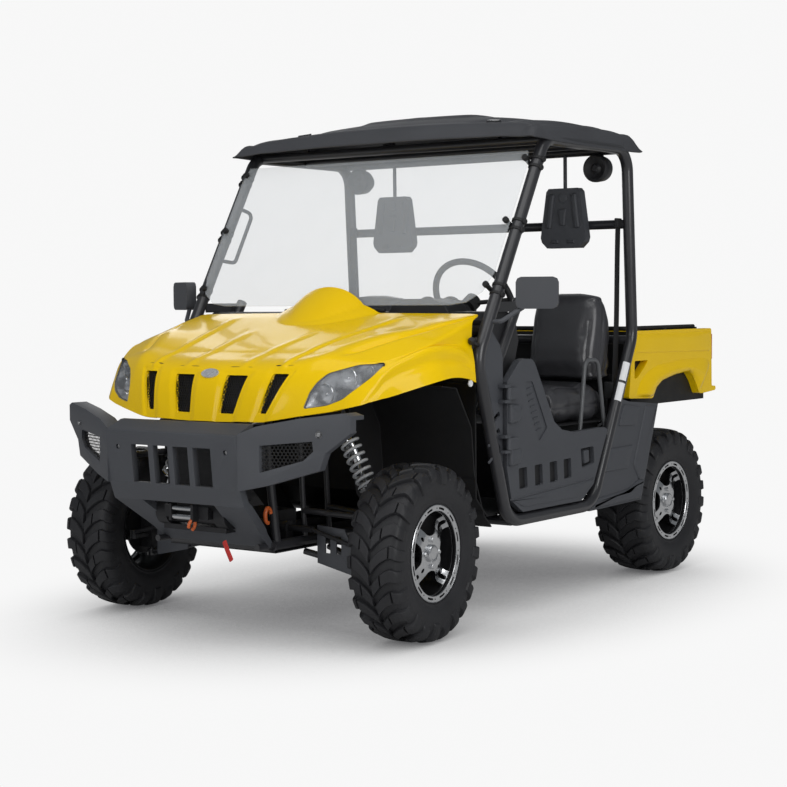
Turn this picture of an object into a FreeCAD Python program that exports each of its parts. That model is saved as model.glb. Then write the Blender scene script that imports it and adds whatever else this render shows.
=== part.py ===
import FreeCAD, Part
import math
import os

# Side by side utility vehicle, in millimetres.
# +Z is up, the front of the vehicle faces -Y and its left (driver's) side is +X.
# The origin is on the ground, midway along the length and across the width.

V = FreeCAD.Vector

# ---------------------------------------------------------------- driving sizes
LENGTH = 2878.0
BUMPER_FRONT_Y = -LENGTH / 2
WHEELBASE = 1910.0
FRONT_AXLE_Y = -910.0
REAR_AXLE_Y = FRONT_AXLE_Y + WHEELBASE
TYRE_R = 317.5
FRONT_TYRE_X = 680.0
FRONT_TYRE_W = 210.0
REAR_TYRE_X = 613.0
REAR_TYRE_W = 253.0
TYRE_SEGMENTS = 18
CARCASS_R = 300.0
TREAD_LUGS = 16
TREAD_LUG_T = 38.0
TREAD_SLANT = 0.5
BEAD_R = 168.0
RIM_LIP_R = 173.0
RIM_WALL = 5.0
RIM_FACE_T = 14.0
BEAD_GAP = 0.3
BEARING_GAP = 0.05
SPINDLE_R = 16.0
HUB_R = 38.0
DISC_R = 105.0
DISC_T = 5.0

KINGPIN_X = 600.0
STEER_REST = 5.0
STEER_ARM = 110.0
KINGPIN_R = 9.0
KINGPIN_TOP_Z = 400.0
KINGPIN_LOW_Z = 240.0

HOOP_X = 730.0
HOOP_R = 24.0
SKIN = 5.0
PLATE = 6.0
GAP = 0.3
MOVE_GAP = 6.0

NEAR = 1.0
SIDES = (NEAR, -NEAR)
SIDE_NAMES = {NEAR: "left", -NEAR: "right"}

nodes = {}


# ---------------------------------------------------------------- shape helpers
def block(x0, x1, y0, y1, z0, z1):
    """Plain box between two corners."""
    return Part.makeBox(x1 - x0, y1 - y0, z1 - z0, V(x0, y0, z0))


def polygon(points):
    """Flat face inside a closed outline."""
    return Part.Face(Part.makePolygon(list(points) + [points[0]]))


def slab_x(outline, x0, x1):
    """Outline of (y, z) pairs, extruded from x0 to x1."""
    return polygon([V(x0, y, z) for y, z in outline]).extrude(V(x1 - x0, 0, 0))


def slab_y(outline, y0, y1):
    """Outline of (x, z) pairs, extruded from y0 to y1."""
    return polygon([V(x, y0, z) for x, z in outline]).extrude(V(0, y1 - y0, 0))


def rod(start, end, radius):
    """Round bar between two points."""
    start, end = V(*start), V(*end)
    return Part.makeCylinder(radius, (end - start).Length, start, end - start)


def flip(shape):
    """The same piece on the vehicle's other side."""
    return shape.mirror(V(0, 0, 0), V(1, 0, 0))


def on_side(shape, side):
    """A piece drawn on the left, put on the side asked for."""
    return shape if side == NEAR else flip(shape)


def both(shape):
    """The left piece and its twin on the right."""
    return [shape, flip(shape)]


def join(shapes):
    """One solid from touching pieces."""
    first, rest = shapes[0], shapes[1:]
    return first.fuse(rest).removeSplitter() if rest else first


def path_edges(points, bends):
    """Straight runs with a tangent arc of the given radius at each inner point."""
    points = [V(*p) for p in points]
    edges = []
    here = points[0]
    for before, corner, after, bend in zip(points, points[1:], points[2:], bends):
        back = (before - corner).normalize()
        ahead = (after - corner).normalize()
        half = back.getAngle(ahead) / 2
        reach = bend / math.tan(half)
        middle = (back + ahead).normalize() * (bend / math.sin(half) - bend)
        start, end = corner + back * reach, corner + ahead * reach
        edges.append(Part.LineSegment(here, start).toShape())
        edges.append(Part.Arc(start, corner + middle, end).toShape())
        here = end
    edges.append(Part.LineSegment(here, points[-1]).toShape())
    return edges


def tube(points, radius, bend):
    """Round bar bent along the points; bend is one radius or one for each corner."""
    bends = bend if isinstance(bend, (list, tuple)) else [bend] * (len(points) - 2)
    edges = path_edges(points, bends)
    start = V(*points[0])
    ring = Part.Wire(Part.makeCircle(radius, start, V(*points[1]) - start))
    return Part.Wire(edges).makePipe(Part.Face(ring))


def loop_tube(points, radius, bends):
    """Closed bent bar, made as two halves that meet on its first and a middle run."""
    count = len(points)
    half = count // 2
    mid = [tuple((a + b) / 2 for a, b in zip(points[i - 1], points[i])) for i in (0, half)]
    one = tube([mid[0]] + points[:half] + [mid[1]], radius, bends[:half])
    two = tube([mid[1]] + points[half:] + [mid[0]], radius, bends[half:])
    return one.fuse(two)


def between(a, b, share):
    """Point a share of the way from a to b."""
    return tuple(p + (q - p) * share for p, q in zip(a, b))


def refine(points, steps):
    """Even points along a polyline, with the number of steps given for each run."""
    out = [tuple(points[0])]
    for a, b, count in zip(points, points[1:], steps):
        out += [between(a, b, (i + 1) / count) for i in range(count)]
    return out


def grid_normals(grid):
    """Unit normal at each point of a grid, from its neighbours."""
    rows, cols = len(grid), len(grid[0])
    normals = []
    for i in range(rows):
        line = []
        for j in range(cols):
            along = grid[min(i + 1, rows - 1)][j] - grid[max(i - 1, 0)][j]
            across = grid[i][min(j + 1, cols - 1)] - grid[i][max(j - 1, 0)]
            line.append(along.cross(across).normalize())
        normals.append(line)
    return normals


def grid_offset(grid, distance):
    """The grid moved along its normals."""
    normals = grid_normals(grid)
    return [[p + n * distance for p, n in zip(line, line_n)] for line, line_n in zip(grid, normals)]


def grid_solid(outer, inner):
    """Closed solid between two grids of points, from flat triangles."""
    rows, cols = len(outer), len(outer[0])
    faces = []

    def quad(a, b, c, d):
        faces.append(polygon([a, b, c]))
        faces.append(polygon([a, c, d]))

    for i in range(rows - 1):
        for j in range(cols - 1):
            quad(outer[i][j], outer[i][j + 1], outer[i + 1][j + 1], outer[i + 1][j])
            quad(inner[i][j], inner[i][j + 1], inner[i + 1][j + 1], inner[i + 1][j])
    for i in range(rows - 1):
        for j in (0, cols - 1):
            quad(outer[i][j], outer[i + 1][j], inner[i + 1][j], inner[i][j])
    for j in range(cols - 1):
        for i in (0, rows - 1):
            quad(outer[i][j], outer[i][j + 1], inner[i][j + 1], inner[i][j])
    shell = Part.makeShell(faces)
    shell.sewShape()
    solid = Part.Solid(shell)
    if solid.Volume < 0:
        solid.reverse()
    return solid


def mirrored_grid(half):
    """Whole grid from its left half, whose first column is on the centre plane."""
    return [[V(-p[0], p[1], p[2]) for p in reversed(line[1:])] + [V(*p) for p in line] for line in half]


# ---------------------------------------------------------------- cage
# Each side of the cage is one closed bent tube: windshield post, roof rail, rear post and sill.
RAIL_Z = 1828.0
SILL_Z = 372.0
# corner name: (y, z, bend radius)
HOOP_CORNERS = {
    "roof_front": (-96.0, RAIL_Z, 95.0),
    "waist_front": (-578.0, 990.0, 140.0),
    "sill_front": (-378.0, SILL_Z, 110.0),
    "sill_rear": (268.0, SILL_Z, 130.0),
    "waist_rear": (611.0, 1048.0, 130.0),
    "roof_rear": (566.0, RAIL_Z, 95.0),
}
hoop = loop_tube([(HOOP_X, y, z) for y, z, _ in HOOP_CORNERS.values()], HOOP_R,
                 [bend for _, _, bend in HOOP_CORNERS.values()])
hoops = both(hoop)
for side, piece in zip(SIDES, hoops):
    nodes["cage_hoop_" + SIDE_NAMES[side]] = piece


def post_point(z):
    """Point (y, z) on the windshield post's centre line."""
    y0, z0, _ = HOOP_CORNERS["waist_front"]
    y1, z1, _ = HOOP_CORNERS["roof_front"]
    return y0 + (y1 - y0) * (z - z0) / (z1 - z0), z


def rear_post_y(z):
    """Y of the rear post's centre line."""
    y0, z0, _ = HOOP_CORNERS["waist_rear"]
    y1, z1, _ = HOOP_CORNERS["roof_rear"]
    return y0 + (y1 - y0) * (z - z0) / (z1 - z0)


# ---------------------------------------------------------------- roof
ROOF_FRONT_Y = -218.0
ROOF_REAR_Y = 692.0
ROOF_X = 768.0
# columns of the table: x of each lengthwise line; rows: y and its heights
ROOF_LINES_X = (0.0, 300.0, 520.0, 690.0, 752.0, ROOF_X)
ROOF_ROWS = (
    (ROOF_FRONT_Y, (1856.0, 1855.0, 1850.0, 1843.0, 1839.0, 1836.0)),
    (-190.0, (1895.0, 1893.0, 1886.0, 1872.0, 1858.0, 1834.0)),
    (-90.0, (1935.0, 1930.0, 1917.0, 1895.0, 1866.0, 1830.0)),
    (80.0, (1972.0, 1964.0, 1940.0, 1908.0, 1870.0, 1822.0)),
    (330.0, (1982.0, 1974.0, 1948.0, 1912.0, 1870.0, 1812.0)),
    (540.0, (1968.0, 1960.0, 1938.0, 1904.0, 1868.0, 1816.0)),
    (660.0, (1912.0, 1908.0, 1898.0, 1880.0, 1860.0, 1824.0)),
    (ROOF_REAR_Y, (1862.0, 1860.0, 1855.0, 1848.0, 1842.0, 1832.0)),
)
roof_grid = mirrored_grid([[(x, y, z) for x, z in zip(ROOF_LINES_X, heights)]
                           for y, heights in ROOF_ROWS])
roof_under = [[p - V(0, 0, SKIN) for p in line] for line in roof_grid]
nodes["roof"] = grid_solid(roof_grid, roof_under)
below_roof = grid_solid(roof_under, [[V(p.x, p.y, RAIL_Z - 100) for p in line] for line in roof_under])

# ---------------------------------------------------------------- cage cross tubes
CROSS_R = 19.0
rail_front_y = HOOP_CORNERS["roof_front"][0] + 30
rail_rear_y = HOOP_CORNERS["roof_rear"][0] - 20
HEADREST_BAR_Z = 1520.0
REAR_BAR_Z = 1035.0
# (y, z) of each tube that runs across from hoop to hoop
CROSS_TUBES = (
    (rail_front_y, RAIL_Z),
    (rail_rear_y, RAIL_Z),
    ((rail_front_y + rail_rear_y) / 2, RAIL_Z),
    (rear_post_y(HEADREST_BAR_Z), HEADREST_BAR_Z),
    (rear_post_y(REAR_BAR_Z) - 14, REAR_BAR_Z),
    (post_point(1100.0)[0] + 20, 1095.0),
)
cross_tubes = []
for y, z in CROSS_TUBES:
    cross_tubes.append(rod((-HOOP_X, y, z), (HOOP_X, y, z), CROSS_R).cut(hoops))
ROOF_PAD = 26.0
roof_pads = []
for x in (-480.0, 480.0):
    for y in (rail_front_y, rail_rear_y):
        pad = block(x - ROOF_PAD, x + ROOF_PAD, y - ROOF_PAD / 2, y + ROOF_PAD / 2, RAIL_Z, RAIL_Z + 150)
        roof_pads.append(pad.common(below_roof))
nodes["cage_cross_tubes"] = Part.makeCompound(
    [join([cross_tubes[0]] + roof_pads[0::2]), join([cross_tubes[1]] + roof_pads[1::2])] + cross_tubes[2:])

# ---------------------------------------------------------------- chassis frame
RAIL_X = 240.0
FRAME_R = 20.0
FRAME_Z = 335.0
FRAME_FRONT_Y = FRONT_AXLE_Y - 255
FRAME_REAR_Y = LENGTH / 2 - 164
BED_RAIL_X = 300.0
BED_RAIL_Z = 730.0
BED_RAIL_R = 18.0
BED_HINGE_Y = FRAME_REAR_Y - 13
BED_PIN_R = 7.0
SHOCK_BAR_Z = 800.0
RADIATOR_Y = FRAME_FRONT_Y - 65
UPPER_X = 215.0
HINGE_Y = FRAME_FRONT_Y - 85
HINGE_Z = 775.0
HOOD_PIN_R = 8.0
HOOD_LUG_X = 204.0

rails = [rod((side * RAIL_X, FRAME_FRONT_Y, FRAME_Z), (side * RAIL_X, FRAME_REAR_Y, FRAME_Z), FRAME_R)
         for side in SIDES]
frame_left = [
    tube([(RAIL_X, FRAME_FRONT_Y + 25, FRAME_Z), (UPPER_X, FRAME_FRONT_Y - 10, 800), (UPPER_X, -590, 862),
          (UPPER_X, post_point(1095)[0] + 20, 1095)], 16.0, [70.0, 90.0]),
    tube([(RAIL_X, REAR_AXLE_Y - 100, FRAME_Z), (BED_RAIL_X, REAR_AXLE_Y - 100, BED_RAIL_Z + 2)], 15.0, []),
    tube([(RAIL_X, REAR_AXLE_Y + 100, FRAME_Z), (BED_RAIL_X, REAR_AXLE_Y + 100, BED_RAIL_Z + 2)], 15.0, []),
    rod((BED_RAIL_X, 640, BED_RAIL_Z), (BED_RAIL_X, BED_HINGE_Y - 18, BED_RAIL_Z), BED_RAIL_R),
    block(BED_RAIL_X - 16, BED_RAIL_X + 16, BED_HINGE_Y - 24, BED_HINGE_Y + 9, BED_RAIL_Z - 9,
          BED_RAIL_Z + 9),
    rod((BED_RAIL_X, BED_HINGE_Y, BED_RAIL_Z), (BED_RAIL_X + 46, BED_HINGE_Y, BED_RAIL_Z), BED_PIN_R),
    rod((BED_RAIL_X, 660, BED_RAIL_Z), (RAIL_X, 600, FRAME_Z), 15.0),
]
# (y, z) of the lower tubes that carry the sills, and reach from hoop to hoop
SILL_TUBES = ((-345.0, SILL_Z), (235.0, SILL_Z))
frame_cross = [rod((-HOOP_X, y, z), (HOOP_X, y, z), CROSS_R) for y, z in SILL_TUBES]
# (x half width, y, z, radius) of the other tubes that run across
FRAME_CROSS = (
    (RAIL_X, FRAME_FRONT_Y, FRAME_Z, FRAME_R),
    (RAIL_X, FRAME_REAR_Y - 20, FRAME_Z, FRAME_R),
    (RAIL_X, 760.0, FRAME_Z, FRAME_R),
    (BED_RAIL_X, 660.0, BED_RAIL_Z, 15.0),
    (BED_RAIL_X, BED_HINGE_Y - 30, BED_RAIL_Z, 15.0),
    (372.0, FRONT_AXLE_Y - 5, SHOCK_BAR_Z, 14.0),
    (345.0, REAR_AXLE_Y, BED_RAIL_Z, 14.0),
    (UPPER_X, FRAME_FRONT_Y - 8, 560.0, 12.0),
)
for x, y, z, r in FRAME_CROSS:
    frame_cross.append(rod((-x, y, z), (x, y, z), r))
# Bumper arms, and the pin that the hood tips about.
bumper_arms = [
    rod((UPPER_X, FRAME_FRONT_Y - 8, 660), (UPPER_X, BUMPER_FRONT_Y + 19, 660), 12.0),
    rod((RAIL_X, FRAME_FRONT_Y, FRAME_Z + 4), (RAIL_X, BUMPER_FRONT_Y + 189, FRAME_Z + 4), 12.0),
]
hood_pin = rod((-UPPER_X, HINGE_Y, HINGE_Z), (UPPER_X, HINGE_Y, HINGE_Z), HOOD_PIN_R)
pin_posts = slab_x([(HINGE_Y - 4, HINGE_Z), (HINGE_Y + 4, HINGE_Z), (FRAME_FRONT_Y, 790),
                    (FRAME_FRONT_Y, 770)],
                   UPPER_X - 6, UPPER_X + 6)
frame_parts = frame_cross + rails + [hood_pin]
for piece in frame_left + bumper_arms + [pin_posts]:
    frame_parts += both(piece)
chassis_frame = join(frame_parts).cut(hoops + cross_tubes)
nodes["chassis_frame"] = chassis_frame

# ---------------------------------------------------------------- hitch
HITCH_OUT = 64.0
HITCH_IN = 51.5
HITCH_FRONT_Y = FRAME_REAR_Y
HITCH_REAR_Y = LENGTH / 2 - 34
HITCH_PIN_R = 8.1
HITCH_PIN_Y = HITCH_REAR_Y - 45
hitch = block(-HITCH_OUT / 2, HITCH_OUT / 2, HITCH_FRONT_Y, HITCH_REAR_Y,
              FRAME_Z - HITCH_OUT / 2, FRAME_Z + HITCH_OUT / 2)
hitch = hitch.cut(block(-HITCH_IN / 2, HITCH_IN / 2, HITCH_FRONT_Y + PLATE, HITCH_REAR_Y + 1,
                        FRAME_Z - HITCH_IN / 2, FRAME_Z + HITCH_IN / 2))
hitch = hitch.cut(rod((-HITCH_OUT, HITCH_PIN_Y, FRAME_Z), (HITCH_OUT, HITCH_PIN_Y, FRAME_Z), HITCH_PIN_R))
nodes["hitch_receiver"] = hitch.cut(chassis_frame)

# ---------------------------------------------------------------- skid plate
SKID_T = 5.0
skid_z = FRAME_Z - FRAME_R
nodes["skid_plate"] = block(-RAIL_X - 15, RAIL_X + 15, FRAME_FRONT_Y, FRAME_REAR_Y - 60, skid_z - SKID_T,
                            skid_z)

# ---------------------------------------------------------------- power unit
ENGINE_REAR_Y = REAR_AXLE_Y - 130
ENGINE_FRONT_Y = ENGINE_REAR_Y - 450
nodes["engine"] = block(-205, 205, ENGINE_FRONT_Y, ENGINE_REAR_Y, skid_z + 2, 690).cut(chassis_frame)
core = block(-185, 185, RADIATOR_Y - 20, RADIATOR_Y + 20, 500, 740)
ears = block(-UPPER_X, UPPER_X, RADIATOR_Y - 4, RADIATOR_Y + 4, 640, 680)
nodes["radiator"] = join([core, ears]).cut(chassis_frame)
MUFFLER_R = 72.0
MUFFLER_Y = REAR_AXLE_Y + 190
MUFFLER_Z = 590.0
muffler = rod((-190, MUFFLER_Y, MUFFLER_Z), (150, MUFFLER_Y, MUFFLER_Z), MUFFLER_R)
tail_pipe = tube([(150, MUFFLER_Y, MUFFLER_Z + 10), (205, MUFFLER_Y, MUFFLER_Z + 10),
                  (205, MUFFLER_Y + 100, MUFFLER_Z + 10)], 16.0, [30.0])
down_pipe = tube([(-100, ENGINE_REAR_Y, MUFFLER_Z - 30), (-100, REAR_AXLE_Y, MUFFLER_Z - 30),
                  (-100, MUFFLER_Y, MUFFLER_Z)], 20.0, [60.0])
nodes["exhaust"] = join([muffler, tail_pipe, down_pipe])

# ---------------------------------------------------------------- axles
DIFF_Z = 350.0
SHAFT_R = 14.0
BOOT_R = 27.0
FRONT_SHAFT_END = KINGPIN_X - 42
front_diff = block(-85, 85, FRONT_AXLE_Y - 70, FRONT_AXLE_Y + 70, skid_z, 430)
prop_shaft = rod((0, FRONT_AXLE_Y + 70, DIFF_Z), (0, ENGINE_FRONT_Y, DIFF_Z), 17.0)


def half_shaft(y, x_end):
    """Half shaft with a rubber boot at each end."""
    start, end = (85, y, DIFF_Z), (x_end, y, TYRE_R)
    inner = between(start, end, 0.2)
    outer = between(start, end, 0.88)
    return join([rod(start, end, SHAFT_R), rod(start, inner, BOOT_R), rod(outer, end, BOOT_R)])


REAR_HUB_X = 505.0
rear_diff = block(-85, 85, REAR_AXLE_Y - 70, REAR_AXLE_Y + 70, skid_z, 440)
rear_prop = rod((0, ENGINE_REAR_Y, DIFF_Z), (0, REAR_AXLE_Y - 70, DIFF_Z), 17.0)
nodes["front_drive"] = join([front_diff, prop_shaft] + both(half_shaft(FRONT_AXLE_Y, FRONT_SHAFT_END))).cut(
    [chassis_frame, nodes["engine"]])
nodes["rear_drive"] = join([rear_diff, rear_prop] + both(half_shaft(REAR_AXLE_Y, REAR_HUB_X))).cut(
    [chassis_frame, nodes["engine"]])

# ---------------------------------------------------------------- suspension arms
ARM_R = 12.0
ARM_SPREAD = 72.0
ARM_LOW_IN_Z = 296.0
ARM_TOP_IN_Z = 445.0
ARM_LOW_OUT_Z = 219.0
ARM_TOP_OUT_Z = 424.0
BALL_R = 18.0
BALL_H = 26.0


def arm(y, x_out, z_in, z_out, x_in):
    """Forked suspension arm from two inner pivots to one outer joint."""
    legs = [rod((x_in, y + d, z_in), (x_out, y, z_out), ARM_R) for d in (-ARM_SPREAD, ARM_SPREAD)]
    return legs + [rod((x_out, y, z_out - BALL_H / 2), (x_out, y, z_out + BALL_H / 2), BALL_R)]


low_pin = rod((KINGPIN_X, FRONT_AXLE_Y, ARM_LOW_OUT_Z), (KINGPIN_X, FRONT_AXLE_Y, KINGPIN_LOW_Z + 24),
              KINGPIN_R)
top_pin = rod((KINGPIN_X, FRONT_AXLE_Y, KINGPIN_TOP_Z - 24), (KINGPIN_X, FRONT_AXLE_Y, ARM_TOP_OUT_Z),
              KINGPIN_R)
low_arm = join(arm(FRONT_AXLE_Y, KINGPIN_X, ARM_LOW_IN_Z, ARM_LOW_OUT_Z, RAIL_X) + [low_pin])
posts = [rod((RAIL_X + 2, FRONT_AXLE_Y + d, FRAME_Z + 12), (UPPER_X, FRONT_AXLE_Y + d, 818), 10.0)
         for d in (-ARM_SPREAD, ARM_SPREAD)]
top_arm = join(arm(FRONT_AXLE_Y, KINGPIN_X, ARM_TOP_IN_Z, ARM_TOP_OUT_Z, RAIL_X - 2) + [top_pin] + posts)
GUARD = [(318, 262), (478, 228), (478, 330), (440, 392), (318, 400)]
guard = slab_y(GUARD, FRONT_AXLE_Y - 96, FRONT_AXLE_Y - 90)
guard_ledge = block(334, 352, FRONT_AXLE_Y - 92, FRONT_AXLE_Y - 48, 266, 278)
guard = guard.fuse(guard_ledge)
for x0 in (355, 405):
    guard = guard.cut(block(x0, x0 + 22, FRONT_AXLE_Y - 99, FRONT_AXLE_Y - 88, 300, 366))
front_arms = []
for piece in (low_arm, top_arm):
    front_arms += [p.cut(chassis_frame) for p in both(piece)]
nodes["front_arms"] = Part.makeCompound(front_arms)
nodes["arm_guards"] = Part.makeCompound([g.cut(nodes["front_arms"]) for g in both(guard)])
rear_low = arm(REAR_AXLE_Y, REAR_HUB_X, ARM_LOW_IN_Z, ARM_LOW_OUT_Z + 20, RAIL_X)
rear_top = arm(REAR_AXLE_Y, REAR_HUB_X, ARM_TOP_IN_Z, ARM_TOP_OUT_Z - 20, RAIL_X + 10)
carrier = [block(REAR_HUB_X - 2, REAR_HUB_X + 30, REAR_AXLE_Y - 30, REAR_AXLE_Y + 30, ARM_LOW_OUT_Z + 8,
                 ARM_TOP_OUT_Z - 8),
           rod((REAR_HUB_X, REAR_AXLE_Y, TYRE_R), (REAR_TYRE_X + 30, REAR_AXLE_Y, TYRE_R), SPINDLE_R)]
rear_corner = join(rear_low + rear_top + carrier)
nodes["rear_arms"] = Part.makeCompound([p.cut([chassis_frame,
                                               nodes["rear_drive"]]) for p in both(rear_corner)])

# ---------------------------------------------------------------- shock absorbers
SPRING_R = 40.0
SHOCK_BODY_R = 21.0
SHOCK_ROD_R = 8.0


def shock(top, foot):
    """Damper rod, body and the spring's envelope between an upper and a lower eye."""
    seat, lower = between(top, foot, 0.12), between(top, foot, 0.72)
    return [join([rod(top, lower, SHOCK_BODY_R), rod(lower, foot, SHOCK_ROD_R + 2)]), seat, lower]


FRONT_SHOCK = ((352.0, FRONT_AXLE_Y - 5, SHOCK_BAR_Z - 13), (535.0, FRONT_AXLE_Y - 5, 437.0))
REAR_SHOCK = ((330.0, REAR_AXLE_Y, BED_RAIL_Z - 13), (452.0, REAR_AXLE_Y, 425.0))
for name, ends, arms in (("front", FRONT_SHOCK, "front_arms"), ("rear", REAR_SHOCK, "rear_arms")):
    body, seat, lower = shock(*ends)
    spring = rod(seat, lower, SPRING_R).cut(rod(seat, lower, SHOCK_BODY_R))
    body = body.cut([chassis_frame, nodes[arms]])
    spring = spring.cut([chassis_frame, nodes[arms]])
    nodes[name + "_dampers"] = Part.makeCompound(both(body))
    nodes[name + "_springs"] = Part.makeCompound(both(spring))

# ---------------------------------------------------------------- hood
# Lengthwise lines of the hood's left half, each with a point (x, y, z) at the stations:
# rear edge, cowl, middle, fore part, lamp, nose crest, nose foot.
HOOD_T = 5.0
HOOD_LINES = {
    "centre": ((0, -518, 1158), (0, -620, 1134), (0, -730, 1106), (0, -880, 1066), (0, -1050, 1018),
               (0, -1212, 953), (0, -1262, 780)),
    "top": ((420, -518, 1155), (410, -620, 1132), (385, -730, 1104), (350, -880, 1066), (325, -1035, 1022),
            (318, -1190, 959), (290, -1260, 786)),
    "upper_crease": ((688, -492, 1152), (640, -640, 1128), (590, -735, 1108), (535, -870, 1087),
                     (455, -1020, 1040), (425, -1142, 986), (415, -1222, 808)),
    "lower_crease": ((698, -565, 1126), (701, -650, 1104), (701, -740, 1078), (697, -860, 1042),
                     (640, -992, 1000), (532, -1098, 964), (520, -1178, 824)),
    "waist": ((712, -592, 1050), (706, -655, 1046), (700, -745, 1042), (694, -862, 1032),
              (646, -996, 990), (588, -1100, 925), (568, -1158, 836)),
    "flare": ((736, -606, 975), (732, -662, 1008), (722, -750, 1026), (710, -862, 1026),
              (656, -1006, 974), (626, -1078, 900), (602, -1126, 846)),
    "edge": ((745, -612, 908), (745, -668, 924), (745, -755, 930), (738, -856, 918),
             (662, -1006, 876), (641, -1054, 866), (620, -1096, 855)),
}
ACROSS_STEPS = (5, 3, 2, 1, 1, 1)
ALONG_STEPS = (3, 3, 2, 2, 2, 3)
DOME_TOP = 108.0
DOME_HALF = 246.0
DOME_CREST_Y = -500.0
DOME_NOSE_Y = -715.0
DOME_TAPER = 1.3
DOME_FLAT = 3.0


def dome(x, y):
    """Height that the air dome adds: a near straight rise from its nose, round across."""
    along = max(0.0, min(1.0, (DOME_CREST_Y - y) / (DOME_CREST_Y - DOME_NOSE_Y)))
    rise = 1 - along ** DOME_TAPER
    half = DOME_HALF * math.sqrt(max(0.05, 1 - along * along * 0.9))
    across = min(1.0, abs(x) / half)
    return DOME_TOP * rise * (1 - across ** DOME_FLAT) ** 0.8 if across < 1 else 0.0


stations = [refine(line, ALONG_STEPS) for line in HOOD_LINES.values()]
hood_half = []
for row in zip(*stations):
    line = refine(row, ACROSS_STEPS)
    hood_half.append([(x, y, z + dome(x, y)) for x, y, z in line])
hood_grid = mirrored_grid(hood_half)
hood_inner = grid_offset(hood_grid, -HOOD_T)
hood = grid_solid(hood_grid, hood_inner)

# Grille slots: (x and z of the outline's corners), four slanted openings in the nose.
SLOTS = (
    ((69, 808), (137, 808), (173, 946), (78, 946)),
    ((252, 813), (284, 813), (345, 954), (281, 954)),
)
# The cut is deep enough for the nose, and stops ahead of the hood's top.
slot_cuts = []
for outline in SLOTS:
    slot_cuts += both(slab_y(outline, -1400, -1100))
LAMP = ((423, 834), (433, 890), (450, 926), (478, 957), (564, 986), (640, 990), (618, 944), (590, 908),
        (552, 868), (502, 846))
lamp_cut = slab_y(LAMP, -1400, -990)
lamp = hood.common(lamp_cut)
MESH_T = 2.5
MESH_GAP = 0.9
mesh_front = grid_offset(hood_grid, -HOOD_T - MESH_GAP)
mesh_block = grid_solid(mesh_front, grid_offset(hood_grid, -HOOD_T - MESH_GAP - MESH_T))
hood = hood.cut(slot_cuts + both(lamp_cut))
meshes = []
for outline in SLOTS:
    (x0, z0), (x1, _), (x2, z2), (x3, _) = outline
    wide = ((x0 - 10, z0 - 6), (x1 + 10, z0 - 6), (x2 + 10, z2 + 6), (x3 - 10, z2 + 6))
    meshes += both(mesh_block.common(slab_y(wide, -1400, -1100)))
# Lugs that hang from the nose's foot and turn on the frame's pin.
LUG_T = 12.0
RISE_COUNT = 3
lug_x = HOOD_LUG_X - LUG_T


def skin_at(x):
    """Points where the hood's outer skin crosses one length-wise plane, from rear to foot."""
    found = []
    for line in hood_half:
        near = [(a, b) for a, b in zip(line, line[1:]) if a[0] <= x < b[0]]
        a, b = near[0]
        found.append(between(a, b, (x - a[0]) / (b[0] - a[0])))
    return found


front_edge = [(y + 1.5, z) for _, y, z in skin_at(lug_x)[-RISE_COUNT:]]
back_edge = [(y + 12, z) for y, z in front_edge[:1]]
lug = slab_x([(HINGE_Y - 14, HINGE_Z - 14), (HINGE_Y + 14, HINGE_Z - 14), (HINGE_Y + 14, HINGE_Z + 14)]
             + back_edge + front_edge, lug_x - LUG_T / 2, lug_x + LUG_T / 2)
lug = lug.cut(rod((lug_x - LUG_T, HINGE_Y, HINGE_Z), (lug_x + LUG_T, HINGE_Y, HINGE_Z),
                  HOOD_PIN_R + BEARING_GAP))
hood = hood.fuse(both(lug))
nodes["hood"] = hood
nodes["headlamps"] = Part.makeCompound(both(lamp))
nodes["grille_mesh"] = Part.makeCompound([m.cut(hood) for m in meshes])

# ---------------------------------------------------------------- bumper
BUMPER_X = 311.0
BUMPER_WALL = 26.0
SHELF_Y = BUMPER_FRONT_Y + 94
# (y, z) of the bumper's section: shelf, front, chin and foot, then back up along the inner face
BUMPER_PROFILE = [(SHELF_Y, 786), (SHELF_Y - 17, 784), (BUMPER_FRONT_Y, 750), (BUMPER_FRONT_Y + 18, 565),
                  (BUMPER_FRONT_Y + 42, 500), (BUMPER_FRONT_Y + 188, 385), (FRAME_FRONT_Y - 29, 334),
                  (FRAME_FRONT_Y - 22, 334), (FRAME_FRONT_Y - 22, 356), (BUMPER_FRONT_Y + 199, 412),
                  (BUMPER_FRONT_Y + 67, 516), (BUMPER_FRONT_Y + 45, 570), (BUMPER_FRONT_Y + 28, 728),
                  (SHELF_Y - 17, 758), (SHELF_Y, 760)]
bumper = slab_x(BUMPER_PROFILE, -BUMPER_X, BUMPER_X)
ahead, behind = BUMPER_FRONT_Y - 21, BUMPER_FRONT_Y + 59
# The chin narrows towards its foot.
for side in SIDES:
    bumper = bumper.cut(on_side(slab_y([(BUMPER_X, 500), (BUMPER_X + 1, 300), (246, 300), (262, 385)],
                                       ahead, BUMPER_FRONT_Y + 339), side))
# Upper window with its bars, and the lower window for the winch.
WINDOW_X = 190.0
BAR_W = 24.0
BAR_X = (-95.0, 0.0, 95.0)
WINDOW_LOW = 566.0
WINDOW_TOP = 702.0
window = block(-WINDOW_X, WINDOW_X, ahead, behind, WINDOW_LOW, WINDOW_TOP)
for x in BAR_X:
    window = window.cut(block(x - BAR_W / 2, x + BAR_W / 2, ahead - 1, behind + 1, WINDOW_LOW - 6,
                              WINDOW_TOP + 8))
winch_window = slab_y([(-172, 500), (172, 500), (138, 390), (-138, 390)], ahead, BUMPER_FRONT_Y + 239)
BOLT_R = 9.0
bolt_holes = [rod((x, ahead, 691), (x, behind, 691), BOLT_R) for x in (-257, 257)]
bumper = bumper.cut([window, winch_window] + bolt_holes)
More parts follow.
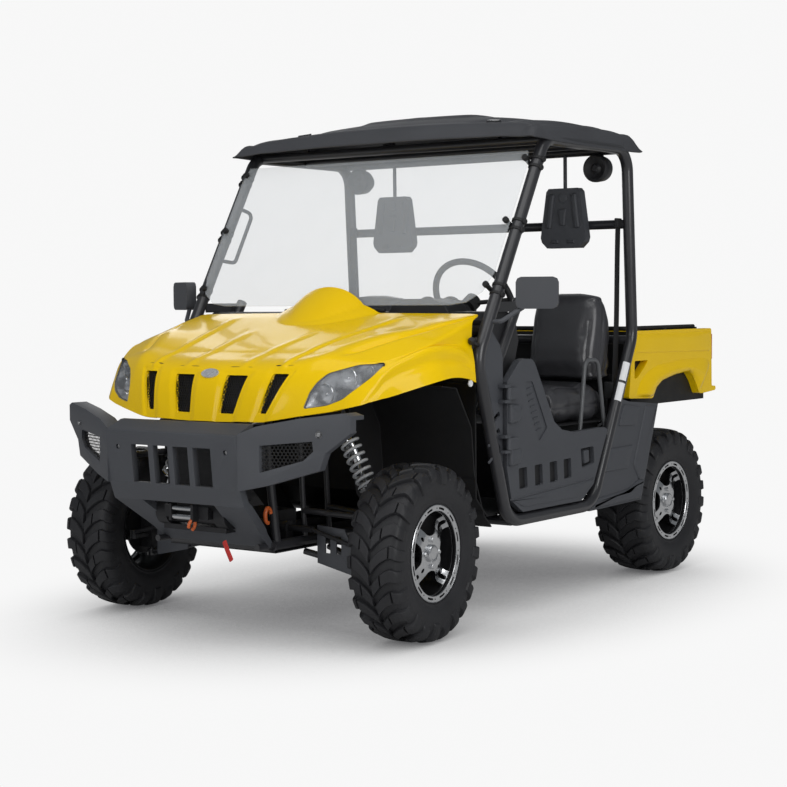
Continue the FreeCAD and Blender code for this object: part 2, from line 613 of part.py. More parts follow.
# Wings: flat plates that sweep back on each side, with a mesh vent.
WING_TIP_X = 675.0
WING_SWEEP = 162.0
WING_STEP = 8.0
wing_slope = WING_SWEEP / (WING_TIP_X - BUMPER_X)
WING_OUTLINE = ((BUMPER_X, 560), (BUMPER_X, 756), (374, 784), (515, 812), (650, 830), (WING_TIP_X, 820),
                (WING_TIP_X, 762), (594, 693), (575, 634), (406, 581))
WING_VENT = ((382, 625), (382, 718), (553, 734), (556, 700), (524, 668))
WING_LEDGE = ((BUMPER_X, 742), (BUMPER_X, 756), (374, 784), (515, 812), (650, 830), (WING_TIP_X, 820),
              (WING_TIP_X, 806), (650, 816), (515, 798), (374, 770))


def wing_plate(outline, start, depth):
    """Outline of (x, z) pairs on the wing's swept face, given a depth."""
    face = polygon([V(x, BUMPER_FRONT_Y + wing_slope * (x - BUMPER_X) + start, z) for x, z in outline])
    return face.extrude(V(0, depth, 0))


wing = wing_plate(WING_OUTLINE, WING_STEP, BUMPER_WALL + 6).cut(wing_plate(WING_VENT, WING_STEP - 2,
                                                                           BUMPER_WALL))
wing_top = wing_plate(WING_LEDGE, WING_STEP + BUMPER_WALL, 50)
nodes["front_bumper"] = join([bumper] + both(wing) + both(wing_top)).cut(chassis_frame)

# ---------------------------------------------------------------- winch
WINCH_Y = FRAME_FRONT_Y - 125
WINCH_Z = 452.0
winch_drum = rod((-120, WINCH_Y, WINCH_Z), (120, WINCH_Y, WINCH_Z), 38.0)
winch_ends = [rod((x, WINCH_Y, WINCH_Z), (x + 50, WINCH_Y, WINCH_Z), 48.0) for x in (-165, 115)]
winch_foot = block(-150, 150, WINCH_Y - 20, FRAME_FRONT_Y + FRAME_R, WINCH_Z - 62, WINCH_Z - 44)
winch_posts = [block(x - 12, x + 12, FRAME_FRONT_Y - 20, FRAME_FRONT_Y + 20, FRAME_Z, WINCH_Z - 44)
               for x in (-120, 120)]
# Two-roller guide ahead of the drum, on arms from the winch's ends.
GUIDE_X = 52.0
guide_y = WINCH_Y - 76
fairlead = [block(-104, 104, guide_y + 12, guide_y + 18, 440, 484),
            block(-104, -88, guide_y + 14, WINCH_Y, 440, 470), block(88, 104, guide_y + 14, WINCH_Y, 440,
                                                                     470)]
fairlead += [block(x - 6, x + 6, guide_y - 16, guide_y + 14, 432, 492) for x in (-GUIDE_X, GUIDE_X)]
rollers = [rod((-GUIDE_X, guide_y - 4, z), (GUIDE_X, guide_y - 4, z), 9.0) for z in (447, 477)]
nodes["winch"] = join([winch_drum] + winch_ends + [winch_foot] + winch_posts + fairlead + rollers).cut(
    [chassis_frame, nodes["skid_plate"], nodes["front_bumper"]])

# ---------------------------------------------------------------- cab
FLOOR_Z = SILL_Z + HOOP_R + 1
CAB_X = 690.0
WALL_Y = -520.0
SEAT_PLINTH_Y = 30.0
SEAT_PLINTH_Z = 700.0
# (y, z) of the tub's section: toe board, floor, plinth front, plinth top and rear wall
TUB_OUTER = [(WALL_Y - 6, 900), (WALL_Y - 6, 470), (-450, FLOOR_Z - 1), (SEAT_PLINTH_Y, FLOOR_Z - 1),
             (SEAT_PLINTH_Y, SEAT_PLINTH_Z), (495, SEAT_PLINTH_Z), (576, 890)]
tub_inner = [(WALL_Y, 900), (WALL_Y, 473), (-447, FLOOR_Z + PLATE), (SEAT_PLINTH_Y - PLATE, FLOOR_Z + PLATE),
             (SEAT_PLINTH_Y - PLATE, SEAT_PLINTH_Z + PLATE), (491, SEAT_PLINTH_Z + PLATE), (569, 890)]
tub = slab_x(TUB_OUTER + tub_inner[::-1], -CAB_X, CAB_X)
plinth_sides = both(slab_x([(SEAT_PLINTH_Y, FLOOR_Z - 1), (420, FLOOR_Z - 1), (495, SEAT_PLINTH_Z),
                            (SEAT_PLINTH_Y, SEAT_PLINTH_Z)], CAB_X - 60, CAB_X - 54))
nodes["cab_tub"] = join([tub] + plinth_sides).cut([chassis_frame, nodes["engine"]] + hoops)

# ---------------------------------------------------------------- dashboard
DASH_X = 690.0
dash_section = [(-478, 1070), (-474, 1134), (-430, 1164), (-300, 1165), (-240, 1120), (-222, 1050),
                (-262, 940), (-330, 900), (WALL_Y, 900), (WALL_Y, 940)]
dash = slab_x(dash_section, -DASH_X, DASH_X)
dash_hollow = slab_x([(-466, 1075), (-462, 1126), (-425, 1150), (-310, 1150), (-262, 1110), (-246, 1050),
                      (-285, 950), (-340, 915), (WALL_Y + 20, 915), (WALL_Y + 20,
                                                                     940)], -DASH_X + 12, DASH_X - 12)
WHEEL_X = 370.0
pod = slab_y([(WHEEL_X - 150, 1150), (WHEEL_X - 120, 1196), (WHEEL_X - 60, 1214), (WHEEL_X + 60, 1214),
              (WHEEL_X + 120, 1196), (WHEEL_X + 150, 1150)], -440, -300)
nodes["dashboard"] = join([dash.cut(dash_hollow), pod]).cut([chassis_frame,
                                                             nodes["cage_cross_tubes"]] + hoops)
# Wide brace inside each door post, from a plate on the windshield post down to the hoop.
BRACE_R = 21.0
BRACE_X = 697.0
BRACE_TOP = (-236.0, 1205.0)
BRACE_FOOT = (-507.0, 790.0)
brace = rod((BRACE_X, *BRACE_TOP), (BRACE_X, *BRACE_FOOT), BRACE_R)
plate_x = BRACE_X + 8
brace_plate = block(plate_x, plate_x + PLATE, post_point(BRACE_TOP[1])[0], BRACE_TOP[0],
                    BRACE_TOP[1] - 42, BRACE_TOP[1] - 4)
nodes["cage_braces"] = Part.makeCompound([p.cut(hoops + [nodes["cab_tub"], nodes["dashboard"]])
                                          for p in both(join([brace, brace_plate]))])

# ---------------------------------------------------------------- seats
SEAT_X = 505.0
SEAT_W = 324.0
CUSHION = [(52, SEAT_PLINTH_Z + PLATE + GAP), (470, SEAT_PLINTH_Z + PLATE + GAP), (478, 800), (452, 856),
           (130, 858), (72, 842), (46, 800), (42, 755)]
BACK = [(400, 862), (372, 900), (372, 960), (425, 1190), (448, 1232), (476, 1243), (520, 1232), (580, 1120),
        (577, 1000), (568, 905), (530, 862)]
cushion = slab_x(CUSHION, SEAT_X - SEAT_W / 2, SEAT_X + SEAT_W / 2)
back = slab_x(BACK, SEAT_X - SEAT_W / 2 - 8, SEAT_X + SEAT_W / 2 + 8)
corner_cut = [on_side(slab_y([(SEAT_X + 90, 1260), (SEAT_X + SEAT_W / 2 + 10, 1260),
                              (SEAT_X + SEAT_W / 2 + 10, 1120)], 300, 700), NEAR),
              slab_y([(SEAT_X - 90, 1260), (SEAT_X - SEAT_W / 2 - 10, 1260),
                      (SEAT_X - SEAT_W / 2 - 10, 1120)],
                     300, 700)]
nodes["seat_cushions"] = Part.makeCompound(both(cushion))
backs = both(back.cut(corner_cut))
nodes["seat_backs"] = Part.makeCompound([b.cut(nodes["cage_cross_tubes"]) for b in backs])

# ---------------------------------------------------------------- doors
DOOR_X0 = 724.0
DOOR_X1 = 752.0
HINGE_PIN_Y = -413.0
HINGE_PIN_X = 764.0
HINGE_R = 8.0
HINGE_Z_LIST = (858.0, 670.0)
DOOR_OUTLINE = [(-404, 902), (-307, 986), (-213, 981), (-118, 822), (-61, 731), (-3, 697), (90, 681),
                (336, 686), (363, 673), (246, 461), (149, 402), (-295, 402), (-376, 452), (-408, 578)]
door_skin = slab_x(DOOR_OUTLINE, DOOR_X0, DOOR_X1)
door_clear = loop_tube([(HOOP_X, y, z) for y, z, _ in HOOP_CORNERS.values()], HOOP_R + MOVE_GAP,
                       [bend for _, _, bend in HOOP_CORNERS.values()])
door = door_skin.cut(door_clear)
# Strap hinges stand proud of the skin and wrap the pin.
straps = []
hinge_brackets = []
for z in HINGE_Z_LIST:
    strap = block(DOOR_X1, HINGE_PIN_X + 4, HINGE_PIN_Y, -350, z - 22, z + 22)
    strap = join([strap, rod((HINGE_PIN_X, HINGE_PIN_Y, z - 22), (HINGE_PIN_X, HINGE_PIN_Y, z + 22),
                             HINGE_R + 3)])
    straps.append(strap.cut(rod((HINGE_PIN_X, HINGE_PIN_Y, z - 30), (HINGE_PIN_X, HINGE_PIN_Y, z + 30),
                                HINGE_R - 3 + BEARING_GAP)))
    pin = rod((HINGE_PIN_X, HINGE_PIN_Y, z - 34), (HINGE_PIN_X, HINGE_PIN_Y, z + 34), HINGE_R - 3)
    ears = [block(734, HINGE_PIN_X + 6, HINGE_PIN_Y - 34, HINGE_PIN_Y + 6, z + s * 28.5 - 5.5,
                  z + s * 28.5 + 5.5)
            for s in (-1, 1)]
    hinge_brackets.append(join([pin] + ears))
door = join([door] + straps)
for side, name in SIDE_NAMES.items():
    nodes["door_" + name] = on_side(door, side)

# ---------------------------------------------------------------- side panels
PANEL_X0 = 728.0
PANEL_X1 = 738.0
FRONT_PANEL = [(-486, 1092), (-432, 1040), (-413, 990), (-413, 902), (-417, 578), (-411, 540), (-433, 540),
               (-520, 810), (-562, 935), (-565, 988), (-530, 1056)]
front_panel = slab_x(FRONT_PANEL, PANEL_X0, PANEL_X1).cut([door_skin])
REAR_PANEL = [(482, 795), (560, 778), (REAR_AXLE_Y - 178, 756), (REAR_AXLE_Y - 332, 356), (225, 350),
              (225, 372),
              (256, 391), (300, 440), (363, 560), (434, 700)]
rear_panel = slab_x(REAR_PANEL, 716, 744)
rear_hollow = slab_x([(470, 700), (520, 778), (REAR_AXLE_Y - 200, 742), (REAR_AXLE_Y - 345, 370),
                      (280, 366)], 700, 738)
rear_panel = join([rear_panel.cut(rear_hollow)])
door_space = slab_x([(y, z) for y, z in DOOR_OUTLINE], DOOR_X0 - MOVE_GAP, DOOR_X1 + 40)
panels = []
for piece in (join([front_panel] + [b.cut(door_skin) for b in hinge_brackets]), rear_panel):
    panels += both(piece.cut([hoop, door_space.cut(block(600, 900, -480, -395, 600, 920))]))
nodes["side_panels"] = Part.makeCompound([p.cut([chassis_frame] + cross_tubes + hoops) for p in panels])

# ---------------------------------------------------------------- windshield
GLASS_T = 5.0
GLASS_OFF = 38.0
GLASS_X = 716.0
GLASS_TOP = 1700.0
post_dir = V(0, HOOP_CORNERS["roof_front"][0] - HOOP_CORNERS["waist_front"][0],
             RAIL_Z - HOOP_CORNERS["waist_front"][1]).normalize()
post_out = V(0, -post_dir.z, post_dir.y)


def on_post(x, z, out):
    """Point beside the windshield post at a height, moved out ahead of it."""
    y, z = post_point(z)
    return V(x, y, z) + post_out * out


def glass_sheet(outline):
    """Sheet of the glass's thickness from (x, height along the post) pairs."""
    return polygon([on_post(x, z, GLASS_OFF) for x, z in outline]).extrude(post_out * -GLASS_T)


GLASS_OUTLINE = [(-560, 1172), (560, 1172), (630, 1182), (690, 1222), (GLASS_X, 1290), (GLASS_X, GLASS_TOP),
                 (700, GLASS_TOP + 60), (-700, GLASS_TOP + 60), (-GLASS_X, GLASS_TOP), (-GLASS_X, 1290),
                 (-690, 1222), (-630, 1182)]
nodes["windshield"] = glass_sheet(GLASS_OUTLINE)
# Rubber-ended clamps: height on the post of each.
CLAMP_Z = (1243.0, 1486.0, 1728.0)
CLAMP_R = 9.0
clamps = []
for z in CLAMP_Z:
    foot, tip = on_post(HOOP_X - 28, z, 0), on_post(HOOP_X - 28, z, GLASS_OFF - GLASS_T)
    post = rod(foot, tip, CLAMP_R).cut(hoop)
    knob_foot = on_post(HOOP_X - 28, z, GLASS_OFF)
    knob = rod(knob_foot, on_post(HOOP_X - 28, z, GLASS_OFF + 14), CLAMP_R + 3)
    clamps += both(post) + both(knob)
nodes["windshield_clamps"] = Part.makeCompound(clamps)

# ---------------------------------------------------------------- cab fittings
HEADREST_X = 448.0
HEADREST_Y = rear_post_y(HEADREST_BAR_Z) - CROSS_R - GAP
# (x from its middle, z) round one panel
HEADREST = [(-70, 1678), (70, 1678), (82, 1664), (110, 1470), (104, 1450), (78, 1425), (-78, 1425),
            (-104, 1450), (-110, 1470), (-82, 1664)]
headrest = slab_y([(HEADREST_X + x, z) for x, z in HEADREST], HEADREST_Y - 42, HEADREST_Y)
HANGER_FOOT_Z = 1660.0
hanger = rod((HEADREST_X, HEADREST_Y - 21, HANGER_FOOT_Z), (HEADREST_X, rail_rear_y - 4, RAIL_Z - 4), 8.0)
nodes["headrests"] = Part.makeCompound([p.cut(nodes["cage_cross_tubes"]) for p in both(join([headrest,
                                                                                             hanger]))])
SPEAKER_X = 623.0
SPEAKER_Z = 1752.0
SPEAKER_R = 58.0
speaker = join([rod((SPEAKER_X, rail_rear_y - 62, SPEAKER_Z), (SPEAKER_X, rail_rear_y + 34, SPEAKER_Z),
                    SPEAKER_R),
                block(SPEAKER_X - 12, SPEAKER_X + 12, rail_rear_y - 12, rail_rear_y + 12, SPEAKER_Z, RAIL_Z)])
nodes["speakers"] = Part.makeCompound([p.cut([nodes["cage_cross_tubes"]] + hoops) for p in both(speaker)])
BELT_W = 46.0
BELT_T = 3.0
BELT_Y = 500.0
BELT_TOP_Z = 1560.0
RETRACTOR_Z = 860.0
belt_x = HOOP_X - HOOP_R - 8
belt = block(belt_x - BELT_T, belt_x, BELT_Y, BELT_Y + BELT_W, RETRACTOR_Z, BELT_TOP_Z)
belt_mount = block(belt_x - 12, HOOP_X, BELT_Y + 12, rear_post_y(BELT_TOP_Z), BELT_TOP_Z, BELT_TOP_Z + 30)
retractor = block(belt_x - 34, belt_x + 4, BELT_Y - 8, BELT_Y + BELT_W - 8, RETRACTOR_Z - 74, RETRACTOR_Z)
retractor_foot = block(belt_x - 30, belt_x - 24, BELT_Y - 6, BELT_Y + 6, SEAT_PLINTH_Z, RETRACTOR_Z - 70)
nodes["seat_belts"] = Part.makeCompound([p.cut([nodes["cage_cross_tubes"], nodes["cab_tub"]] + hoops)
                                         for p in both(join([belt, belt_mount, retractor, retractor_foot]))])
HIP_R = 9.0
HIP_X = SEAT_X + SEAT_W / 2 + 26
hip = tube([(HIP_X, 232, SEAT_PLINTH_Z - 60), (HIP_X - 4, 288, 958), (HIP_X - 4, 392, 958),
            (HIP_X, 446, SEAT_PLINTH_Z - 60)], HIP_R, [40.0, 40.0])
nodes["hip_hoops"] = Part.makeCompound([p.cut(nodes["cab_tub"]) for p in both(hip)])
HANDLE_TOP_Z = 1606.0
HANDLE_FOOT_Z = 1382.0
HANDLE_R = 8.0
HANDLE_OUT = 62.0
handle_x = -HOOP_X + 12
handle_top, handle_foot = post_point(HANDLE_TOP_Z), post_point(HANDLE_FOOT_Z)
handle = tube([(handle_x, handle_top[0], HANDLE_TOP_Z), (handle_x + 22, handle_top[0] + HANDLE_OUT,
                                                         HANDLE_TOP_Z - 22),
               (handle_x + 22, handle_foot[0] + HANDLE_OUT + 10, HANDLE_FOOT_Z - 10),
               (handle_x, handle_foot[0], HANDLE_FOOT_Z)], HANDLE_R, [24.0, 24.0])
nodes["grab_handle"] = handle.cut(hoops)
MIRROR_X = 880.0
MIRROR_Y = -398.0
MIRROR_Z = 1233.0
MIRROR_W = 156.0
MIRROR_H = 118.0
MIRROR_T = 44.0
MIRROR_CORNER = 20.0
MIRROR_TOE = 26.0
# (x, z) round the mirror's shell from its middle, with cut corners
corner = [(MIRROR_W / 2 - MIRROR_CORNER, MIRROR_H / 2), (MIRROR_W / 2 - 6, MIRROR_H / 2 - 6),
          (MIRROR_W / 2, MIRROR_H / 2 - MIRROR_CORNER)]
shell = corner + [(x, -z) for x, z in corner[::-1]]
shell += [(-x, z) for x, z in shell[::-1]]
mirror = slab_y(shell, -MIRROR_T / 2, MIRROR_T / 2)
mirror.rotate(V(0, 0, 0), V(0, 0, 1), MIRROR_TOE)
mirror.translate(V(MIRROR_X, MIRROR_Y, MIRROR_Z))
stalk_y, stalk_z = post_point(1128)
mirror_stalk = tube([(HOOP_X, stalk_y, stalk_z), (HOOP_X + 52, stalk_y + 4, stalk_z),
                     (MIRROR_X - 48, MIRROR_Y - 22, MIRROR_Z - MIRROR_H / 2 + 6)], 9.0, [18.0])
nodes["mirrors"] = Part.makeCompound([p.cut(hoops) for p in both(join([mirror, mirror_stalk]))])

# ---------------------------------------------------------------- inner arches
# (y, z) of the liner behind each front wheel
ARCH = [(-742, 896), (-650, 884), (-552, 735), (-534, 560), (-470, 402), (-420, 352)]
arch_back = [(-420 + 6, 352 + 4), (-470 + 6, 402 + 2), (-534 + 6, 560), (-552 + 6, 735), (-650 + 4, 889),
             (-742, 901)]
arch_wall = slab_x(ARCH + arch_back, 262, 688)
arch_side = slab_x([(-742, 896), (-742, 700), (-700, 480), (-600, 380), (-470, 362), (-430, 362),
                    (-470, 402), (-534, 560), (-552, 735), (-650, 884)], 262, 267)
nodes["inner_arches"] = Part.makeCompound([p.cut([chassis_frame, nodes["cab_tub"]] + hoops)
                                           for p in both(join([arch_wall, arch_side]))])

# ---------------------------------------------------------------- steering
WHEEL_Y = -47.0
WHEEL_Z = 1208.0
WHEEL_TILT = 29.7
WHEEL_R = 176.0
WHEEL_GRIP = 13.0
wheel_axis = V(0, math.cos(math.radians(WHEEL_TILT)), math.sin(math.radians(WHEEL_TILT)))
wheel_centre = V(WHEEL_X, WHEEL_Y, WHEEL_Z)
ring = Part.makeTorus(WHEEL_R, WHEEL_GRIP, wheel_centre, wheel_axis)
hub_foot = wheel_centre - wheel_axis * 62
wheel_hub = rod(hub_foot, wheel_centre - wheel_axis * 6, 34.0)
spokes = []
across = wheel_axis.cross(V(1, 0, 0))
for angle in (0.0, 180.0, 270.0):
    direction = V(1, 0, 0) * math.cos(math.radians(angle)) + across * -math.sin(math.radians(angle))
    spokes.append(rod(wheel_centre - wheel_axis * 26 + direction * 10, wheel_centre + direction * WHEEL_R,
                      9.0))
COLUMN_R = 14.0
column_top = hub_foot + wheel_axis * 30
column_foot = wheel_centre - wheel_axis * 400
bore = rod(hub_foot - wheel_axis, column_top + wheel_axis * GAP, COLUMN_R + BEARING_GAP)
nodes["steering_wheel"] = join([ring, wheel_hub] + spokes).cut(bore)
column = rod(column_foot, column_top, COLUMN_R)
sleeve = rod(column_foot, hub_foot - wheel_axis * 12, 26.0)
nodes["steering_column"] = join([column, sleeve]).cut([nodes["dashboard"], chassis_frame, nodes["cab_tub"],
                                                      nodes["cage_cross_tubes"]])

# Upright that turns on the kingpin, drawn straight ahead on the left.
upright = block(KINGPIN_X - 22, KINGPIN_X + 34, FRONT_AXLE_Y - 27, FRONT_AXLE_Y + 27, KINGPIN_LOW_Z,
                KINGPIN_TOP_Z)
spindle = rod((KINGPIN_X + 20, FRONT_AXLE_Y, TYRE_R), (FRONT_TYRE_X + 34, FRONT_AXLE_Y, TYRE_R), SPINDLE_R)
steer_arm = [block(KINGPIN_X - 13, KINGPIN_X + 13, FRONT_AXLE_Y - STEER_ARM, FRONT_AXLE_Y, 284, 299),
             rod((KINGPIN_X, FRONT_AXLE_Y - STEER_ARM, 284), (KINGPIN_X, FRONT_AXLE_Y - STEER_ARM, 299),
                 15.0)]
caliper = block(KINGPIN_X + 20, KINGPIN_X + 33, FRONT_AXLE_Y, FRONT_AXLE_Y + 104, TYRE_R - 30, TYRE_R + 34)
kingpin_bores = [rod((KINGPIN_X, FRONT_AXLE_Y, KINGPIN_LOW_Z - 1),
                     (KINGPIN_X, FRONT_AXLE_Y, KINGPIN_LOW_Z + 25),
                     KINGPIN_R + BEARING_GAP),
                 rod((KINGPIN_X, FRONT_AXLE_Y, KINGPIN_TOP_Z - 25),
                     (KINGPIN_X, FRONT_AXLE_Y, KINGPIN_TOP_Z + 1),
                     KINGPIN_R + BEARING_GAP)]
knuckle = join([upright, spindle] + steer_arm + [caliper]).cut(kingpin_bores)


def steered(shape, side):
    """A left front piece put on its side and turned about its kingpin."""
    shape = on_side(shape, side).copy()
    shape.rotate(V(side * KINGPIN_X, FRONT_AXLE_Y, 0), V(0, 0, 1), STEER_REST)
    return shape


for side, name in SIDE_NAMES.items():
    nodes["knuckle_" + name] = steered(knuckle, side)
RACK_R = 12.0
RACK_Z = 384.0
TIE_R = 8.0
TIE_Z = 299.0 + GAP + TIE_R
rest_angle = math.radians(STEER_REST)
rack_shift = STEER_ARM * math.sin(rest_angle)
rack_y = FRONT_AXLE_Y - STEER_ARM * math.cos(rest_angle)
rack_parts = [rod((rack_shift - 300, rack_y, RACK_Z), (rack_shift + 300, rack_y, RACK_Z), RACK_R)]
for side in SIDES:
    inner_end = (rack_shift + side * 296, rack_y, RACK_Z)
    outer_end = (rack_shift + side * KINGPIN_X, rack_y, TIE_Z)
    rack_parts += [rod(inner_end, outer_end, TIE_R),
                   rod((outer_end[0], rack_y, 299 + GAP), (outer_end[0], rack_y, TIE_Z + 10), 13.0)]
nodes["tie_rods"] = join(rack_parts)
housing = rod((-200, rack_y, RACK_Z), (200, rack_y, RACK_Z), 24.0)
housing_feet = block(-200, 200, rack_y - 20, rack_y + 20, skid_z, RACK_Z - 10)
rack_housing = join([housing, housing_feet.cut(block(-170, 170, rack_y - 21, rack_y + 21, skid_z,
                                                     RACK_Z - 24))])
nodes["steering_rack_housing"] = rack_housing.cut([
    rod((-201, rack_y, RACK_Z), (201, rack_y, RACK_Z), RACK_R + BEARING_GAP), chassis_frame])

# ---------------------------------------------------------------- wheels
def wheel_profile(half, lip):
    """Closed (distance out, radius) outline of the barrel and its two lips."""
    r = BEAD_R - BEAD_GAP
    return [(-half, lip), (-half + 6, lip), (-half + 6, r), (half - 6, r), (half - 6, lip), (half, lip),
            (half, lip - 8), (half - 8, r - RIM_WALL), (-half + 8, r - RIM_WALL), (-half, lip - 8)]


def revolve_x(profile, centre_x):
    """Round piece about the X axis from a (distance out, radius) outline."""
    face = polygon([V(centre_x + a, 0, r) for a, r in profile])
    return face.revolve(V(centre_x, 0, 0), V(1, 0, 0), 360)


def faceted(profile, segments):
    """Round piece about the X axis with flat facets, one of them level at the foot."""
    step = 2 * math.pi / segments
    grow = 1 / math.cos(step / 2)
    rings = []
    for k in range(segments):
        a = -math.pi / 2 + step * (k + 0.5)
        rings.append([V(x, r * grow * math.cos(a), r * grow * math.sin(a)) for x, r in profile])
    faces = []
    for k in range(segments):
        one, two = rings[k], rings[(k + 1) % segments]
        for i in range(len(profile)):
            j = (i + 1) % len(profile)
            faces.append(polygon([one[i], one[j], two[j], two[i]]))
    solid = Part.Solid(Part.makeShell(faces))
    if solid.Volume < 0:
        solid.reverse()
    return solid


RIM_HALF_FRONT = 86.0
RIM_HALF_REAR = 104.0
LUG_NUT_R = 9.0


def rim(half, hub_back):
    """Barrel, spoked face, hub and brake disc; its middle is at the origin."""
    barrel = revolve_x(wheel_profile(half, RIM_LIP_R), 0)
    face_x = half - 34
    face = rod((face_x, 0, 0), (face_x + RIM_FACE_T, 0, 0), BEAD_R - 2)
    windows = []
    for k in range(4):
        a = 45 + 90 * k
        outer = [(60, -14), (148, -58), (158, -20), (158, 20), (148, 58), (60, 14)]
        pane = polygon([V(face_x - 1, u, w) for u, w in outer]).extrude(V(RIM_FACE_T + 2, 0, 0))
        pane.rotate(V(0, 0, 0), V(1, 0, 0), a - 45)
        windows.append(pane)
        slot = block(face_x - 1, face_x + RIM_FACE_T + 1, 84, 138, -6, 6)
        slot.rotate(V(0, 0, 0), V(1, 0, 0), a)
        windows.append(slot)
    face = face.cut(windows)
    hub = rod((hub_back, 0, 0), (face_x + RIM_FACE_T, 0, 0), HUB_R)
    cap = rod((face_x + RIM_FACE_T, 0, 0), (face_x + RIM_FACE_T + 14, 0, 0), 30.0)
    disc = rod((hub_back, 0, 0), (hub_back + DISC_T, 0, 0), DISC_R)
    nuts = [rod((face_x + RIM_FACE_T, 44 * math.cos(a), 44 * math.sin(a)),
                (face_x + RIM_FACE_T + 10, 44 * math.cos(a), 44 * math.sin(a)), LUG_NUT_R)
            for a in [math.radians(45 + 90 * k) for k in range(4)]]
    return join([barrel, face, hub, cap, disc] + nuts)


def tread_lug(w):
    """One slanted lug that wraps over the shoulder, at the tyre's foot, and its corner's angle."""
    inner, outer = 5.0, w - 30
    reach = TREAD_LUG_T / 2 + TREAD_SLANT * (outer - inner) / 2
    top = math.sqrt(TYRE_R ** 2 - reach ** 2)
    section = [(inner, CARCASS_R - 12), (inner, top), (outer, top), (w, 290), (w, 262), (w - 40, 280)]
    rows = [[V(x, t + TREAD_SLANT * (x - (outer + inner) / 2), -r) for x, r in section]
            for t in (-TREAD_LUG_T / 2, TREAD_LUG_T / 2)]
    faces = [polygon(rows[0]), polygon(rows[1])]
    for i in range(len(section)):
        j = (i + 1) % len(section)
        faces.append(polygon([rows[0][i], rows[0][j], rows[1][j], rows[1][i]]))
    solid = Part.Solid(Part.makeShell(faces))
    if solid.Volume < 0:
        solid.reverse()
    return solid, math.degrees(math.asin(reach / TYRE_R))


def tyre(width, half_rim):
    """Tyre carcass as flat facets, with two staggered rows of lugs fused on that stand on their corners."""
    w = width / 2
    seat = half_rim - 6 - BEAD_GAP
    side = w - 4
    lip = RIM_LIP_R + 3
    profile = [(-seat, BEAD_R), (-seat, lip), (-side, 215), (-side, 264), (-side + 40, CARCASS_R),
               (side - 40, CARCASS_R), (side, 264), (side, 215), (seat, lip), (seat, BEAD_R)]
    outer, corner_angle = tread_lug(w)
    pitch = 360 / TREAD_LUGS
    lugs = []
    for k in range(TREAD_LUGS):
        for piece, shift in ((outer, -corner_angle), (flip(outer), corner_angle)):
            placed = piece.copy()
            placed.rotate(V(0, 0, 0), V(1, 0, 0), k * pitch + shift)
            lugs.append(placed)
    return faceted(profile, TYRE_SEGMENTS).fuse(lugs)


# name: (side, tyre centre x, axle y, tyre width, half the rim's width, hub's back from the tyre's centre)
WHEELS = {
    "front_left": (NEAR, FRONT_TYRE_X, FRONT_AXLE_Y, FRONT_TYRE_W, RIM_HALF_FRONT, -42.0),
    "front_right": (-NEAR, FRONT_TYRE_X, FRONT_AXLE_Y, FRONT_TYRE_W, RIM_HALF_FRONT, -42.0),
    "rear_left": (NEAR, REAR_TYRE_X, REAR_AXLE_Y, REAR_TYRE_W, RIM_HALF_REAR, -70.0),
    "rear_right": (-NEAR, REAR_TYRE_X, REAR_AXLE_Y, REAR_TYRE_W, RIM_HALF_REAR, -70.0),
}
for name, (side, x, y, width, half, hub_back) in WHEELS.items():
    spindle_end = 34.0 if name.startswith("front") else 30.0
    bore = rod((hub_back - 1, 0, 0), (spindle_end + GAP, 0, 0), SPINDLE_R + BEARING_GAP)
    for kind, shape in (("rim_", rim(half, hub_back).cut(bore)), ("tyre_", tyre(width, half))):
        placed = shape.copy()
        placed.translate(V(x, y, TYRE_R))
        nodes[kind + name] = steered(placed, side) if name.startswith("front") else on_side(placed, side)

# ---------------------------------------------------------------- cargo bed
BED_FRONT_Y = 684.0
BED_REAR_Y = LENGTH / 2 - 53
BED_IN_X = 684.0
BED_OUT_X = 720.0
BED_TOP_Z = 1068.0
BED_FLOOR_Z = BED_RAIL_Z + BED_RAIL_R + GAP
BED_WALL = 10.0
tub_box = block(-BED_IN_X, BED_IN_X, BED_FRONT_Y, BED_REAR_Y, BED_FLOOR_Z, BED_TOP_Z)
bed_space = block(-BED_IN_X + BED_WALL, BED_IN_X - BED_WALL, BED_FRONT_Y + BED_WALL, BED_REAR_Y + 1,
                  BED_FLOOR_Z + 12, BED_TOP_Z + 1)
bed_rail = tube([(BED_IN_X - 24, BED_REAR_Y - 60, BED_TOP_Z + 12),
                 (BED_IN_X - 24, BED_FRONT_Y + 16, BED_TOP_Z + 12),
                 (-BED_IN_X + 24, BED_FRONT_Y + 16, BED_TOP_Z + 12),
                 (-BED_IN_X + 24, BED_REAR_Y - 60, BED_TOP_Z + 12)], 10.0, [40.0, 40.0])
rail_feet = []
for x in (-BED_IN_X + 5, BED_IN_X - 5):
    for y in (BED_FRONT_Y + 80, 1010, BED_REAR_Y - 80):
        reach = 19 if x < 0 else -19
        rail_feet.append(block(min(x, x + reach) - 5, max(x, x + reach) + 5, y - 10, y + 10, BED_TOP_Z - 20,
                               BED_TOP_Z + 10))
TAIL_HINGE_Z = 790.0
bed_sill = block(-BED_IN_X, BED_IN_X, BED_REAR_Y - BED_WALL, BED_REAR_Y, BED_FLOOR_Z, TAIL_HINGE_Z + 8)
bed_lug = block(BED_RAIL_X + 26, BED_RAIL_X + 40, BED_HINGE_Y - 12, BED_HINGE_Y + 12, BED_RAIL_Z - 12,
                BED_FLOOR_Z + 4)
bed_lug = bed_lug.cut(rod((BED_RAIL_X, BED_HINGE_Y, BED_RAIL_Z), (BED_RAIL_X + 60, BED_HINGE_Y, BED_RAIL_Z),
                          BED_PIN_R + BEARING_GAP))
bed_body = [tub_box.cut(bed_space), bed_rail, bed_sill] + rail_feet + both(bed_lug)
